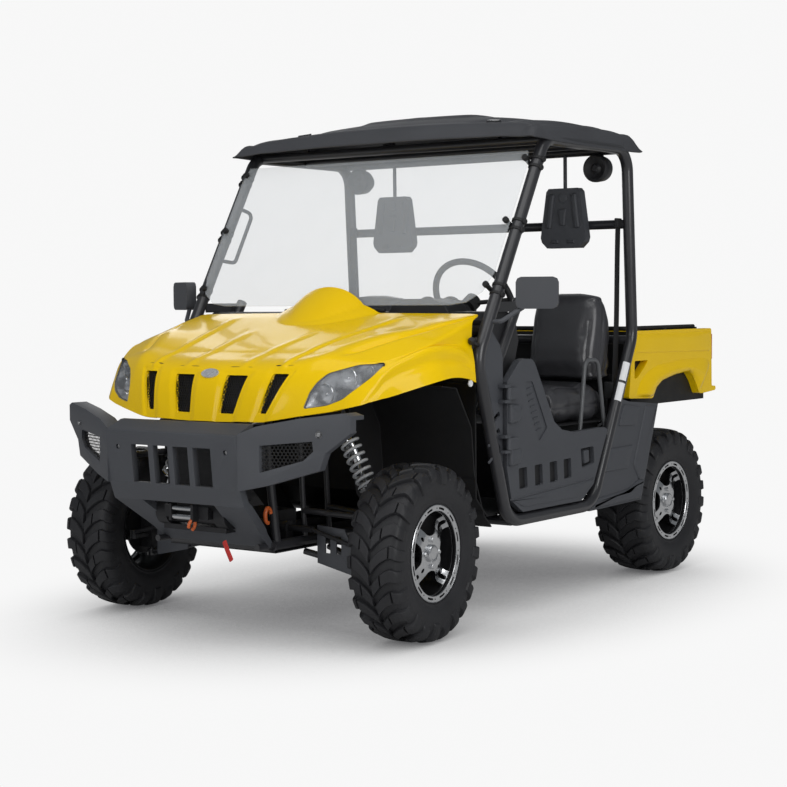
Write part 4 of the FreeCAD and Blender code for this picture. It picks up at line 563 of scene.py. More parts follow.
def nose_y(x, z):
    """Y of the nose's skin at (x, z): the average of the four nearest skin points."""
    skin = hood_half[HOOD_ALONG * 4 // 6:].reshape(-1, 3)
    skin = skin[skin[:, 1] < -1.02]
    x, z = np.abs(np.ravel(x)), np.ravel(z)
    span = (x[:, None] - skin[:, 0]) ** 2 + (z[:, None] - skin[:, 2]) ** 2
    near = np.argpartition(span, 4, axis=1)[:, :4]
    weight = 1 / (np.take_along_axis(span, near, 1) + 1e-9)
    return np.sum(skin[near, 1] * weight, 1) / np.sum(weight, 1)


def rounded_outline(corners, radius, steps=6):
    """Closed (x, z) outline with each corner replaced by a quadratic curve."""
    corners = np.array(corners, float)
    start, end = [corners + unit(other - corners)
                  * np.minimum(radius, np.linalg.norm(other - corners, axis=1) / 2)[:, None]
                  for other in (np.roll(corners, 1, 0), np.roll(corners, -1, 0))]
    t = np.linspace(0, 1, steps)[None, :, None]
    curve = (1 - t) ** 2 * start[:, None] + 2 * t * (1 - t) * corners[:, None] + t ** 2 * end[:, None]
    return curve.reshape(-1, 2)


def shrunk(outline, by):
    """Outline moved inwards by a distance along the average of its neighbouring edge normals."""
    ahead = unit(np.roll(outline, -1, 0) - outline)
    behind = unit(outline - np.roll(outline, 1, 0))
    area = np.sum(outline[:, 0] * np.roll(outline[:, 1], -1) - np.roll(outline[:, 0], -1) * outline[:, 1])
    turn = unit(ahead + behind)
    inward = np.stack([-turn[:, 1], turn[:, 0]], 1) * np.sign(area)
    return outline + inward * by


def prism(outline, y0, y1):
    """(points, faces list) of an (x, z) outline carried from y0 to y1, closed by its two ends."""
    count = len(outline)
    ends = [np.column_stack([outline[:, 0], np.full(count, y), outline[:, 1]]) for y in (y0, y1)]
    index = np.arange(count)
    walls = np.stack([index, (index + 1) % count, (index + 1) % count + count, index + count], 1).tolist()
    return np.concatenate(ends), walls + [list(range(count))[::-1], list(range(count, 2 * count))]


ALONG_X = (1, 0, 2)


def carve(piece, outlines, y0, y1, operation, order=(0, 1, 2)):
    """Cuts a piece by (x, z) outlines carried along Y, or keeps only what lies in them. With the order
    ALONG_X the outlines are (y, z) and are carried along X."""
    work = bmesh.new()
    for outline in outlines:
        points, faces = prism(outline, y0, y1)
        made = [work.verts.new(point) for point in points[:, order]]
        for face in faces:
            work.faces.new([made[i] for i in face])
    bmesh.ops.recalc_face_normals(work, faces=work.faces)
    mesh = bpy.data.meshes.new("cutter")
    work.to_mesh(mesh)
    work.free()
    cutter = placed("cutter", mesh)
    cut = piece.modifiers.new("cut", "BOOLEAN")
    cut.operation, cut.solver, cut.object = operation, "EXACT", cutter
    settle(piece)
    bpy.data.objects.remove(cutter)


def settle(piece):
    """Makes the piece's modifiers part of its mesh."""
    view = bpy.context.evaluated_depsgraph_get()
    view.update()
    mesh = bpy.data.meshes.new_from_object(piece.evaluated_get(view))
    piece.modifiers.clear()
    old = piece.data
    piece.data = mesh
    bpy.data.meshes.remove(old)


def walled_hood(name):
    """The shell with its wall thickness, as one closed mesh."""
    made = solid_mesh(name, hood_full.reshape(-1, 3), lattice(*hood_full.shape[:2]))
    walled(made, HOOD_WALL)
    settle(made)
    return made


def nose_rings(outline, steps):
    """Rings that follow an (x, z) outline on the nose: each (inset, depth) shrinks and sinks it."""
    skin = nose_y(outline[:, 0], outline[:, 1])
    rings = []
    for inset, depth in steps:
        ring = shrunk(outline, inset)
        rings.append(np.column_stack([ring[:, 0], skin + depth, ring[:, 1]]))
    return np.concatenate(rings), lattice(len(rings), len(outline), close_cols=True)


def mirrored_pairs(*outlines):
    """Each (x, z) outline and its mirror image."""
    return [outline * (side, 1) for outline in outlines for side in (1, -1)]


NOSE_SPAN = (-1.42, -0.98)
lamp_outline = rounded_outline(LAMP, 0.010)
slot_outlines = [rounded_outline(corners, 0.007) for corners in SLOTS]
hood = walled_hood("hood_shell")
carve(hood, mirrored_pairs(*slot_outlines, lamp_outline), *NOSE_SPAN, "DIFFERENCE")
fit(hood, yellow_gloss, "hood", ("hood",), 38.0)

# Slot linings: a smooth bevel from the skin down to the mesh behind.
SLOT_DEPTH = 0.007
LINING = ((-0.0015, -0.0006), (0.0, 0.0010), (0.0014, 0.003), (0.0020, SLOT_DEPTH))
linings = [nose_rings(outline, LINING) for outline in slot_outlines]
build("slot_linings", linings, yellow_gloss, "hood", (), 50.0)

# ------------------------------------------------------------------ grille mesh
# Black expanded mesh with six sided openings, held behind the slots of the nose.
mesh_black = Finish("mesh_black", (0.010, 0.010, 0.011), 0.42, rough=(0.3, 0.3, 80.0),
                    relief=(0.0003, 0.3, 500.0))


def inside(outline, points):
    """Which points lie in a closed outline: an odd number of its edges cross the ray to the right."""
    a, b = outline[None], np.roll(outline, -1, 0)[None]
    p = points[:, None]
    cross = (a[..., 1] > p[..., 1]) != (b[..., 1] > p[..., 1])
    fall = np.where(b[..., 1] == a[..., 1], 1, b[..., 1] - a[..., 1])
    reach = a[..., 0] + (p[..., 1] - a[..., 1]) * (b[..., 0] - a[..., 0]) / fall
    return (np.sum(cross & (p[..., 0] < reach), axis=1) % 2) == 1


def hex_net(outline, pitch, bar, depth):
    """Bars round six sided holes that fill an outline, as (points (x, y, z), quads): every cell of a
    triangular lattice carries the three bars on one side of it, each a small four sided beam."""
    low, high = outline.min(0), outline.max(0)
    i, j = np.meshgrid(np.arange(-1, int((high[0] - low[0]) / pitch) + 3),
                       np.arange(-1, int((high[1] - low[1]) / (pitch * 0.866)) + 3))
    centre = np.column_stack([(low[0] + (i + 0.5 * (j % 2)) * pitch).ravel(),
                              (low[1] + j * pitch * 0.866).ravel()])
    side = pitch / math.sqrt(3)
    beams = []
    for turn in (90, 30, -30):
        a, b = math.radians(turn), math.radians(turn - 60)
        start = centre + side * np.array([math.cos(a), math.sin(a)])
        end = centre + side * np.array([math.cos(b), math.sin(b)])
        middle = (start + end) / 2
        keep = inside(outline, middle)
        start, end = start[keep], end[keep]
        off = unit(np.column_stack([-(end - start)[:, 1], (end - start)[:, 0]])) * bar / 2
        flat = np.stack([start - off, end - off, end + off, start + off], 1)
        front = np.stack([flat[..., 0], np.zeros(flat.shape[:2]), flat[..., 1]], -1)
        behind = front + (0, depth, 0)
        points = np.concatenate([front, behind], 1).reshape(-1, 3)
        base = (np.arange(len(flat)) * 8)[:, None, None]
        faces = np.array([[0, 1, 2, 3], [7, 6, 5, 4], [0, 4, 5, 1], [2, 6, 7, 3]])[None] + base
        beams.append((points, faces.reshape(-1, 4)))
    return joined(beams)


nets = []
for outline in slot_outlines:
    points, quads = hex_net(shrunk(outline, -0.004), 0.0105, 0.0022, 0.002)
    points[:, 1] += nose_y(points[:, 0], points[:, 2]) + SLOT_DEPTH - 0.003
    nets.append((points, quads))
grille = solid_mesh("grille_nets", *twin(joined(nets)))
fit(grille, mesh_black, "hood", ("grille_mesh",), 20.0)

# A matt black panel behind the nets paints the shade inside the nose: a dark sheet put where the nose would
# lie in shadow.
liner = []
for outline in slot_outlines:
    ring = shrunk(outline, -0.030)
    behind = nose_y(outline[:, 0], outline[:, 1]) + 0.016
    hub = (ring[:, 0].mean(), behind.mean() + 0.004, ring[:, 1].mean())
    rows = [np.column_stack([ring[:, 0], behind, ring[:, 1]]), np.tile(hub, (len(ring), 1))]
    liner.append((np.concatenate(rows), lattice(2, len(ring), close_cols=True)))
walled(build("grille_shade_backing", liner, mesh_black, "hood", (), 32.0), 0.002)

# ------------------------------------------------------------------ headlamps
# Each lamp is a clear moulded lens over a dark bowl with three plated reflectors, and a thin black
# gasket seals it to the nose. A bare oval plate sits on the nose between the inner slots.
lens_clear = Finish("lens_clear", (0.70, 0.73, 0.76), 0.03, rough=(0.05, 0.02, 9.0), Alpha=0.10, IOR=1.5,
                    Coat_Weight=0.8)
plated = Finish("plated_bright", (0.70, 0.71, 0.73), 0.14, 1.0,
                tones=((0.46, 0.47, 0.49), (0.86, 0.87, 0.88), 11.0, 3.0), rough=(0.16, 0.06, 24.0))


def lathe(profile, centre, axis, sides=32):
    """Round piece: centre + h * axis + r (cos a * one + sin a * two) for each (r, h) of the profile."""
    profile = np.array(profile, float)
    axis = unit(np.array(axis, float))
    one = unit(np.cross(axis, (0.31, 0.52, 0.79)))
    two = np.cross(axis, one)
    a = np.linspace(0, 2 * np.pi, sides, endpoint=False)[None, :, None]
    ring = np.cos(a) * one + np.sin(a) * two
    points = np.array(centre, float) + profile[:, 1, None, None] * axis + profile[:, 0, None, None] * ring
    return points.reshape(-1, 3), lattice(len(profile), sides, close_cols=True)


lens = walled_hood("lamp_lenses")
carve(lens, mirrored_pairs(shrunk(lamp_outline, 0.0014)), *NOSE_SPAN, "INTERSECT")
fit(lens, lens_clear, "hood", ("headlamps",), 40.0)

bowl_grey = Finish("bowl_grey", (0.10, 0.10, 0.105), 0.3, 0.6, rough=(0.2, 0.22, 30.0))
bowl_grey.feed("Base Color", bowl_grey.blend((0.03, 0.03, 0.032), (0.42, 0.43, 0.45),
                                             bowl_grey.noise(16.0, 2.0).ramp(0.40, 0.62)))

# The bowl sinks from the lens's edge: depth grows as the root of the share of the way to its middle.
middle = lamp_outline.mean(0)
bowl = []
for share in np.linspace(0, 1, 14):
    ring = middle + (shrunk(lamp_outline, 0.001) - middle) * (1 - share * 0.999)
    depth = 0.006 + 0.050 * math.sqrt(share) * (1 - 0.2 * share)
    bowl.append(np.column_stack([ring[:, 0], nose_y(ring[:, 0], ring[:, 1]) + depth, ring[:, 1]]))
bowl = (np.concatenate(bowl), lattice(len(bowl), len(lamp_outline), close_cols=True))
build("lamp_bowls", [bowl], bowl_grey, "hood", (), 30.0)
dishes = []
turn = np.linspace(0, 2 * np.pi, 40)
for (x, z), size in (((0.470, 0.884), 0.034), ((0.520, 0.936), 0.040), ((0.592, 0.962), 0.017)):
    front = nose_y(x + size * np.cos(turn), z + size * np.sin(turn)).max() + 0.004
    dish = [(size * 1.10, 0.004), (size * 1.08, 0.0), (size * 1.02, -0.001)]
    dish += [(size * k, 0.030 * (1 - k ** 2)) for k in np.linspace(1, 0, 12)[:-3]]
    dish += [(size * 0.24, 0.012), (size * 0.18, 0.006), (0.0, 0.004)]
    dishes.append(lathe(dish, (x, front, z), (0.0, 1.0, 0.0), 40))
build("lamp_reflectors", dishes, plated, "hood", (), 30.0)
GASKET = ((-0.0030, 0.0), (-0.0024, -0.0014), (-0.0004, -0.0016), (0.0016, -0.0004), (0.0022, 0.010))
build("lamp_gaskets", [nose_rings(lamp_outline, GASKET)], clamp_rubber, "hood")

# Bare oval plate: a low dome over an ellipse with a raised rim, square to the nose's centre line.
alloy = Finish("satin_alloy", (0.62, 0.63, 0.65), 0.26, 0.55, rough=(0.18, 0.18, 60.0),
               relief=(0.0002, 0.3, 240.0, 2.0))
PLATE_LIFT = 0.0035
around = np.linspace(0, 2 * np.pi, 56, endpoint=False)[:, None]
crest = hood_half[:, 0]
row = int(np.argmax((crest[:, 1] < -1.0) & (crest[:, 2] < 0.950)))
down = unit(crest[row + 1] - crest[row - 1])
outward = np.array([0.0, down[2], -down[1]])
ellipse = 0.041 * np.cos(around) * (1.0, 0.0, 0.0) + 0.020 * np.sin(around) * down
oval = [crest[row] + share * ellipse + outward * (height + PLATE_LIFT)
        for share, height in ((1.0, -0.001), (0.99, 0.0034), (0.93, 0.0040), (0.88, 0.0032), (0.80, 0.0030),
                              (0.5, 0.0040), (0.2, 0.0044), (0.0, 0.0045))]
plate = (np.concatenate(oval), lattice(len(oval), len(ellipse), close_cols=True))
build("nose_plate", [plate], alloy, "hood", both=False)

# Rubber hood latch on each side: a strap with a ball end hooked from the hood to the cage.
hooked = bent([(0.716, -0.604, 1.052), (0.735, -0.590, 1.048), (0.734, -0.560, 1.036)], 0.010)
BALL = ((0, 0.016), (0.010, 0.013), (0.014, 0.004), (0.013, -0.006), (0, -0.010))
latch = [pipe(hooked, 0.0065, (0, 0, 1), 12), lathe(BALL, (0.727, -0.606, 1.058), (0.5, -0.6, 0.6), 16),
         pipe([(0.720, -0.594, 1.030), (0.733, -0.585, 1.070)], 0.005, (1, 0, 0), 10)]
build("hood_latches", latch, clamp_rubber, "chassis")

# ------------------------------------------------------------------ front bumper
# A rotomoulded charcoal plastic guard over the frame's arms: a barred centre with the winch's window
# in its chin, and a blunt wing on each side with a mesh vent. All its edges are well rounded.
guard_plastic = Finish("guard_plastic", (0.050, 0.053, 0.060), 0.55, relief=(0.0006, 0.4, 420.0, 2.0))
speck, mottle = guard_plastic.noise(420.0, 2.0), guard_plastic.noise(4.0, 5.0)
guard_plastic.feed("Base Color", guard_plastic.blend((0.042, 0.044, 0.051), (0.075, 0.079, 0.088),
                                                     mottle * 0.6 + speck * 0.4))
guard_plastic.feed("Roughness", mottle * 0.14 + speck * 0.10 + 0.42)


def softened(name, source, width, segments=2, sharp=28.0):
    """A solid's own shape with its flat faces rejoined and its edges rounded to the given width."""
    mesh = node[source].data.copy()
    mesh.materials.clear()
    work = bmesh.new()
    work.from_mesh(mesh)
    bmesh.ops.remove_doubles(work, verts=work.verts, dist=1e-5)
    bmesh.ops.dissolve_limit(work, angle_limit=math.radians(1.0), verts=work.verts, edges=work.edges)
    work.to_mesh(mesh)
    work.free()
    mesh.name = name
    made = placed(name, mesh)
    rounded_edges(made, width, segments, sharp)
    return made


def rounded_edges(piece, width, segments, sharp):
    """Rounds the edges sharper than an angle in degrees."""
    edge = piece.modifiers.new("edge", "BEVEL")
    edge.width, edge.segments, edge.limit_method = width, segments, "ANGLE"
    edge.angle_limit = math.radians(sharp)
    settle(piece)


def cover(name, source, width, segments, finish, body="chassis", sharp=28.0):
    """Softened copy of a solid that stands for it."""
    made = softened(name, source, width, segments, sharp)
    fit(made, finish, body, (source,), 34.0)
    return made


bumper = softened("bumper_shell", "front_bumper", 0.007, 3)
VENT = rounded_outline(((0.382, 0.625), (0.382, 0.718), (0.553, 0.734), (0.556, 0.700), (0.524, 0.668)),
                       0.012)
VENT_SPAN = (-1.46, -1.22)
WING_SWEEP = 0.162 / 0.364


def wing_y(x):
    """Y of the wing's swept front face."""
    return -1.431 + WING_SWEEP * (np.abs(x) - 0.311)


carve(bumper, mirrored_pairs(VENT), *VENT_SPAN, "DIFFERENCE")
fit(bumper, guard_plastic, "chassis", ("front_bumper",), 34.0)
points, quads = hex_net(shrunk(VENT, -0.003), 0.0125, 0.0030, 0.002)
points[:, 1] += wing_y(points[:, 0]) + 0.014
fit(solid_mesh("vent_nets", *twin((points, quads))), mesh_black, "chassis", (), 20.0)

steel = Finish("zinc_steel", (0.50, 0.51, 0.52), 0.30, 1.0,
               tones=((0.34, 0.345, 0.35), (0.62, 0.63, 0.64), 18.0, 4.0), rough=(0.25, 0.20, 40.0, 4.0))
BOLT = ((0.0, 0.006), (0.006, 0.006), (0.0075, 0.004), (0.0078, 0.0), (0.0125, 0.0), (0.0132, -0.002),
        (0.0132, -0.006))
bolts = [lathe(BOLT, (0.574, wing_y(0.574), 0.757), (WING_SWEEP, -1, 0), 18),
         lathe(BOLT, (0.257, -1.4205, 0.691), (0, -1, -0.1), 18)]
build("bumper_bolts", bolts, steel, "chassis", (), 30.0)

# ------------------------------------------------------------------ winch and skid plate
# A black drum winch on the front cross tube, a two roller guide in the bumper's chin, an orange
# forged hook, and a pressed plate under the frame.
cast_black = Finish("cast_black", (0.018, 0.018, 0.020), 0.45, 0.3,
                    tones=((0.010, 0.010, 0.011), (0.034, 0.034, 0.037), 9.0, 4.0),
                    rough=(0.3, 0.3, 60.0, 4.0), relief=(0.0004, 0.3, 260.0))
dress(cast_black, "winch", "skid_plate", "front_drive", "rear_drive", "steering_rack_housing",
      "steering_column", "knuckle_left", "knuckle_right", "tie_rods")
ROLLER = ((0.0, -0.044), (0.0085, -0.044), (0.0098, -0.042), (0.0098, 0.042), (0.0085, 0.044), (0.0, 0.044))
rollers = [lathe(ROLLER, (0.0, -1.371, height), (1, 0, 0), 24) for height in (0.447, 0.477)]
build("winch_rollers", rollers, plated, "chassis", (), 30.0, False)
hook_paint = Finish("hook_paint", (0.55, 0.10, 0.012), 0.42,
                    tones=((0.42, 0.07, 0.010), (0.62, 0.13, 0.02), 30.0, 3.0), rough=(0.25, 0.3, 50.0),
                    Coat_Weight=0.3)
turn = np.linspace(-0.4, 4.4, 26)
hook = np.column_stack([0.044 + 0.004 * np.sin(turn), -1.372 - 0.016 * np.cos(turn),
                        0.420 + 0.018 * np.sin(turn)])
turn = np.linspace(-1.6, 2.9, 24)
side_hook = np.column_stack([0.262 + 0.004 * np.cos(turn), -1.214 - 0.020 * np.cos(turn),
                             0.452 + 0.026 * np.sin(turn)])
hooks = [pipe(hook, 0.0062, (1, 0, 0), 12), pipe(side_hook, 0.0075, (1, 0, 0), 12)]
build("winch_hooks", hooks, hook_paint, "chassis", both=False)

# A short red pull strap hangs from the hook below the bumper, and a white disc marks each hood wing.
strap_red = Finish("strap_red", (0.45, 0.02, 0.015), 0.7, rough=(0.2, 0.6, 80.0))
pull = pipe([(0.214, -1.392, 0.376), (0.232, -1.396, 0.345), (0.252, -1.400, 0.316)], 0.0105, (0, 1, 0),
            12, 0.14)
build("pull_strap", [pull], strap_red, "chassis", both=False)
marker_white = Finish("marker_white", (0.75, 0.75, 0.74), 0.3, rough=(0.2, 0.25, 40.0))
MARKER = ((0.0, 0.003), (0.011, 0.003), (0.0125, 0.0015), (0.0125, -0.003), (0.0, -0.003))
marker = lathe(MARKER, (0.7445, -0.641, 0.906), (1, 0, 0), 24)
build("wing_markers", [marker], marker_white, "hood", (), 34.0)

# ------------------------------------------------------------------ tyres
# Mud tyres: two staggered rows of tall curved lugs point forwards in a V, wrap over the round
# shoulder and fade on a smooth sidewall. Notches split the lugs, and a rib guards the bead.
rubber = Finish("tyre_rubber", (0.022, 0.022, 0.024), 0.62,
                tones=((0.010, 0.010, 0.012), (0.026, 0.026, 0.029), 9.0, 5.0), rough=(0.22, 0.44, 9.0, 5.0),
                relief=(0.0006, 0.35, 260.0))

# name: (side, centre, turn about Z, tyre half width, rim half width)
WHEELS = {
    "front_left": (1, (0.67970, -0.90303, 0.3175), 5.0, 0.105, 0.086),
    "front_right": (-1, (-0.67970, -0.91697, 0.3175), 5.0, 0.105, 0.086),
    "rear_left": (1, (0.613, 1.000, 0.3175), 0.0, 0.1265, 0.104),
    "rear_right": (-1, (-0.613, 1.000, 0.3175), 0.0, 0.1265, 0.104),
}
TREAD_PAIRS = 24
# The half section from the middle of the tread to the bead: share of the half width, and radius.
SECTION_X = (0, 0.2, 0.4, 0.6, 0.78, 0.86, 0.91, 0.94, 0.95, 0.935, 0.88, 0.81, 0.785, 0.77)
SECTION_R = (0.3022, 0.3020, 0.3010, 0.2985, 0.2935, 0.287, 0.276, 0.262, 0.245, 0.222, 0.200, 0.184,
             0.177, 0.168)
SECTION_ROWS = (0.1, 0.18, 0.26, 0.6, 1.0, 1.4, 1.70, 1.76, 1.92, 1.98, 2.5, 3.0, 3.2, 3.26, 3.46, 3.52,
                4, 4.5, 5, 5.5, 6, 6.5, 7, 7.5, 7.9, 8.02, 8.14, 8.6, 9, 9.5, 10, 10.5, 10.9, 11.05,
                11.2, 11.5, 11.65, 12, 12.5, 13)
# Shares of one lug's pitch where the grid's columns stand, and the lug's height there.
LUG_AT = (0.0, 0.20, 0.225, 0.245, 0.27, 0.50, 0.73, 0.755, 0.775, 0.80)
LUG_HIGH = (0, 0, 0.5, 0.9, 1, 1, 1, 0.9, 0.5, 0)


def tyre_grid(half):
    """Closed tyre about the X axis. Column angle: (lug + share) * pitch, less a lean that grows from the
    middle as 1 - (1 - t)^2.2, with the two sides half a pitch apart. Row offset: lug height along the
    section's normal."""
    rows = np.array(SECTION_ROWS)
    knots = np.arange(len(SECTION_X))
    outline = np.column_stack([np.array(SECTION_X) * half, SECTION_R])
    section = hermite(knots, outline, rows)
    slope = hermite(knots, outline, np.minimum(rows + 0.02, knots[-1])) - section
    slope[-1] = (0, -1)
    normal = unit(np.column_stack([-slope[:, 1], slope[:, 0]]))
    columns = (np.arange(TREAD_PAIRS)[:, None] + np.array(LUG_AT)).ravel()
    high = np.tile(LUG_HIGH, TREAD_PAIRS)
    odd = np.repeat(np.arange(TREAD_PAIRS) % 2, len(LUG_AT))
    size = np.interp(rows, (0, 4, 6, 7.5, 8.0), (0.0153, 0.0150, 0.0095, 0.0060, 0.0050))
    size *= between(rows, 0.09, 0.20, 7.95, 8.10)
    notch = [np.where((rows > low) & (rows < high), 0.55, 0) for low, high in ((3.22, 3.50), (1.72, 1.96))]
    early = 1 - rise(rows, 6.4, 7.2)
    long_lug, short_lug = 1 - notch[0], early * (1 - notch[1]) + (1 - early) * 0.12
    relief = high[:, None] * size * np.where(odd[:, None] == 1, short_lug, long_lug)
    rib = 0.0022 * between(rows, 10.95, 11.15, 11.5, 11.7) + 0.0010 * hump(rows, 9.6, 0.12)
    place = section + normal * (relief[..., None] + rib[None, :, None])
    across, radius = place[..., 0], place[..., 1]
    share = np.where(rows > 8, 1.0, np.clip(section[:, 0] / half / max(SECTION_X), 0, 1))
    lean = 0.215 * (1 - (1 - share) ** 2.2) - 0.05 * rise(share, 0.72, 1.0)
    sheets = []
    for side, shift in ((-1, 0.25), (1, -0.25)):
        angle = (columns[:, None] + shift) * 2 * np.pi / TREAD_PAIRS - lean[None]
        sheet = np.stack([side * across, radius * np.cos(angle), radius * np.sin(angle)], axis=-1)
        sheets.append(sheet if side > 0 else sheet[:, ::-1])
    grid = np.concatenate(sheets, axis=1)
    return grid.reshape(-1, 3), lattice(*grid.shape[:2], close_rows=True, close_cols=True)


def on_wheel(points, wheel):
    """Points about the X axis, outer face to +X, carried to a wheel's own side, turn and centre."""
    side, centre, turn = WHEELS[wheel][:3]
    x, y, z = (points * (side, 1, 1)).T
    c, s = math.cos(math.radians(turn)), math.sin(math.radians(turn))
    return np.column_stack([x * c - y * s, x * s + y * c, z]) + centre


for wheel, (*_, half, _) in WHEELS.items():
    points, quads = tyre_grid(half)
    build("tread_" + wheel, [(on_wheel(points, wheel), quads)], rubber, "wheel_" + wheel,
          ("tyre_" + wheel,), 36.0, False)

# ------------------------------------------------------------------ rims
# Cast alloy wheels: a bright machined ring with twelve black pockets and bolts between them, a dished
# face of four split spokes around black windows, a plated cap and four nuts.
alloy_face = Finish("machined_face", (0.78, 0.79, 0.80), 0.2, 1.0)
skin = alloy_face.node("ShaderNodeAttribute", {"attribute_name": "skin"}, output="Fac").ramp(0.80, 0.93)
brushed = alloy_face.noise(70.0, 3.0)
bare = alloy_face.blend((0.62, 0.63, 0.65), (0.86, 0.87, 0.88), brushed)
alloy_face.feed("Base Color", alloy_face.blend((0.010, 0.010, 0.011), bare, skin))
alloy_face.feed("Metallic", skin)
alloy_face.feed("Roughness", brushed * 0.12 + 0.30 - skin * 0.12)


def face_height(r, rim_half):
    """Front of the dished face: level at the hub, low between, and up again at the ring."""
    return rim_half - 0.022 - 0.016 * rise(r, 0.070, 0.122) + 0.020 * rise(r, 0.132, 0.150)


def arc(radius, start, end, steps):
    """Points of a circle from one angle to another, in degrees."""
    a = np.radians(np.linspace(start, end, steps))
    return np.column_stack([radius * np.cos(a), radius * np.sin(a)])


def turned(outline, degrees):
    """Flat outline turned about the origin."""
    c, s = math.cos(math.radians(degrees)), math.sin(math.radians(degrees))
    return outline @ np.array([[c, s], [-s, c]])


def spots_of(mesh):
    """Array of a mesh's points."""
    return np.array([v.co for v in mesh.vertices])


def spun(profile, sides=96):
    """Round piece about the Y axis from (r, y) pairs."""
    return lathe(profile, (0, 0, 0), (0, 1, 0), sides)


def rim_mesh(rim_half):
    """Rim about the Y axis with its face to +Y, as one mesh with a skin attribute on bright faces."""
    r = np.array([0.1520, 0.147, 0.140, 0.132, 0.122, 0.110, 0.096, 0.082, 0.070, 0.055, 0.036, 0.0])
    front = face_height(r, rim_half)
    dish = np.concatenate([np.column_stack([r, front]), np.column_stack([r[::-1], front[::-1] - 0.011]),
                           [[r[0], front[0]]]])
    face = tidy(solid_mesh("face", *spun(dish)))
    window = np.concatenate([arc(0.150, -34, 34, 12), [(0.066, 0.026), (0.061, 0.0), (0.066, -0.026)]])
    window = rounded_outline(window, 0.009, 4)
    slot = rounded_outline([(0.100, -0.0095), (0.147, -0.0095), (0.147, 0.0095), (0.100, 0.0095)], 0.007, 4)
    oval = np.array([0.078, 0]) + arc(1.0, 0, 345, 20) * (0.0095, 0.0065)
    holes = [turned(shape, 90 * k + turn) for k in range(4)
             for shape, turn in ((window, 0), (slot, 45), (oval, 45))]
    carve(face, holes, rim_half - 0.09, rim_half + 0.02, "DIFFERENCE")
    edge = [(0.1500, -0.016), (0.1500, -0.0035), (0.1512, -0.0018), (0.1698, -0.0010), (0.1716, -0.0030),
            (0.1716, -0.010), (0.1500, -0.016)]
    ring = tidy(solid_mesh("ring", *spun([(a, rim_half + h) for a, h in edge])))
    dash = np.concatenate([arc(0.1640, -6.5, 6.5, 6), arc(0.1565, 6.5, -6.5, 6)])
    dashes = [turned(dash, 30 * k + 15) for k in range(12)]
    carve(ring, dashes, rim_half - 0.03, rim_half + 0.02, "DIFFERENCE")
    barrel = [(0.1677, rim_half - 0.006), (0.1728, rim_half - 0.006), (0.1730, rim_half - 0.001),
              (0.1718, rim_half), (0.1705, rim_half - 0.004), (0.1625, rim_half - 0.018),
              (0.1540, rim_half - 0.055), (0.1520, 0.0), (0.1560, 0.02 - rim_half),
              (0.1650, 0.004 - rim_half), (0.1700, -rim_half), (0.1728, -rim_half),
              (0.1728, 0.006 - rim_half), (0.1677, 0.006 - rim_half), (0.1677, rim_half - 0.006)]
    hub_back = -0.042 if rim_half < 0.1 else -0.070
    cap_foot = rim_half - 0.023
    cap = [(a, cap_foot + h) for a, h in ((0.031, 0.0), (0.031, 0.010), (0.029, 0.013), (0.025, 0.0145),
                                          (0.021, 0.0125), (0.010, 0.0135), (0.0, 0.0140))]
    disc = [(0.034, hub_back), (0.105, hub_back), (0.105, hub_back + 0.005), (0.034, hub_back + 0.005),
            (0.037, rim_half - 0.034), (0.017, rim_half - 0.034), (0.017, hub_back), (0.034, hub_back)]
    parts = [(spun(barrel), 0.0), (spun(disc, 48), 0.5), (spun(cap, 40), 1.0)]
    nut = [(0.0088, -0.001), (0.0088, 0.008), (0.0070, 0.0105), (0.0, 0.0112)]
    stud = [(0.0026, -0.001), (0.0026, 0.0006), (0.0018, 0.0014), (0.0, 0.0016)]
    for k in range(4):
        x, z = arc(0.0475, 90 * k, 90 * k, 1)[0]
        parts.append((lathe(nut, (x, cap_foot, z), (0, 1, 0), 6), 1.0))
    for k in range(24):
        x, z = arc(0.1603, 30 * k / 2 - 3 + (k % 2) * 6, 0, 1)[0]
        parts.append((lathe(stud, (x, rim_half - 0.0016, z), (0, 1, 0), 8), 0.3))
    points, faces, bright = [], [], []
    base = 0
    for piece in (face, ring):
        spot = spots_of(piece.data)
        reach = np.hypot(spot[:, 0], spot[:, 2])
        top = face_height(reach, rim_half) if piece is face else rim_half - 0.004
        points.append(spot)
        bright.append(np.where(spot[:, 1] > top - 0.0016, 1.0, 0.0))
        faces += [[base + i for i in polygon.vertices] for polygon in piece.data.polygons]
        base += len(spot)
        bpy.data.objects.remove(piece)
    for (spot, quads), level in parts:
        points.append(spot)
        lip = (np.hypot(spot[:, 0], spot[:, 2]) > 0.1690) & (spot[:, 1] > rim_half - 0.005)
        bright.append(np.where(lip, 1.0, level))
        faces += (quads + base).tolist()
        base += len(spot)
    return np.concatenate(points)[:, ALONG_X], faces, np.concatenate(bright)


rims = {rim_half: rim_mesh(rim_half) for rim_half in (0.086, 0.104)}
for wheel, (*_, rim_half) in WHEELS.items():
    points, faces, bright = rims[rim_half]
    mesh = bpy.data.meshes.new("rim_shell_" + wheel)
    mesh.from_pydata(on_wheel(points, wheel).tolist(), [], faces)
    mesh.attributes.new("skin", "FLOAT", "POINT").data.foreach_set("value", bright)
    rim_shell = tidy(placed("rim_shell_" + wheel, mesh), 2e-6)
    fit(rim_shell, alloy_face, "wheel_" + wheel, ("rim_" + wheel,), 30.0)

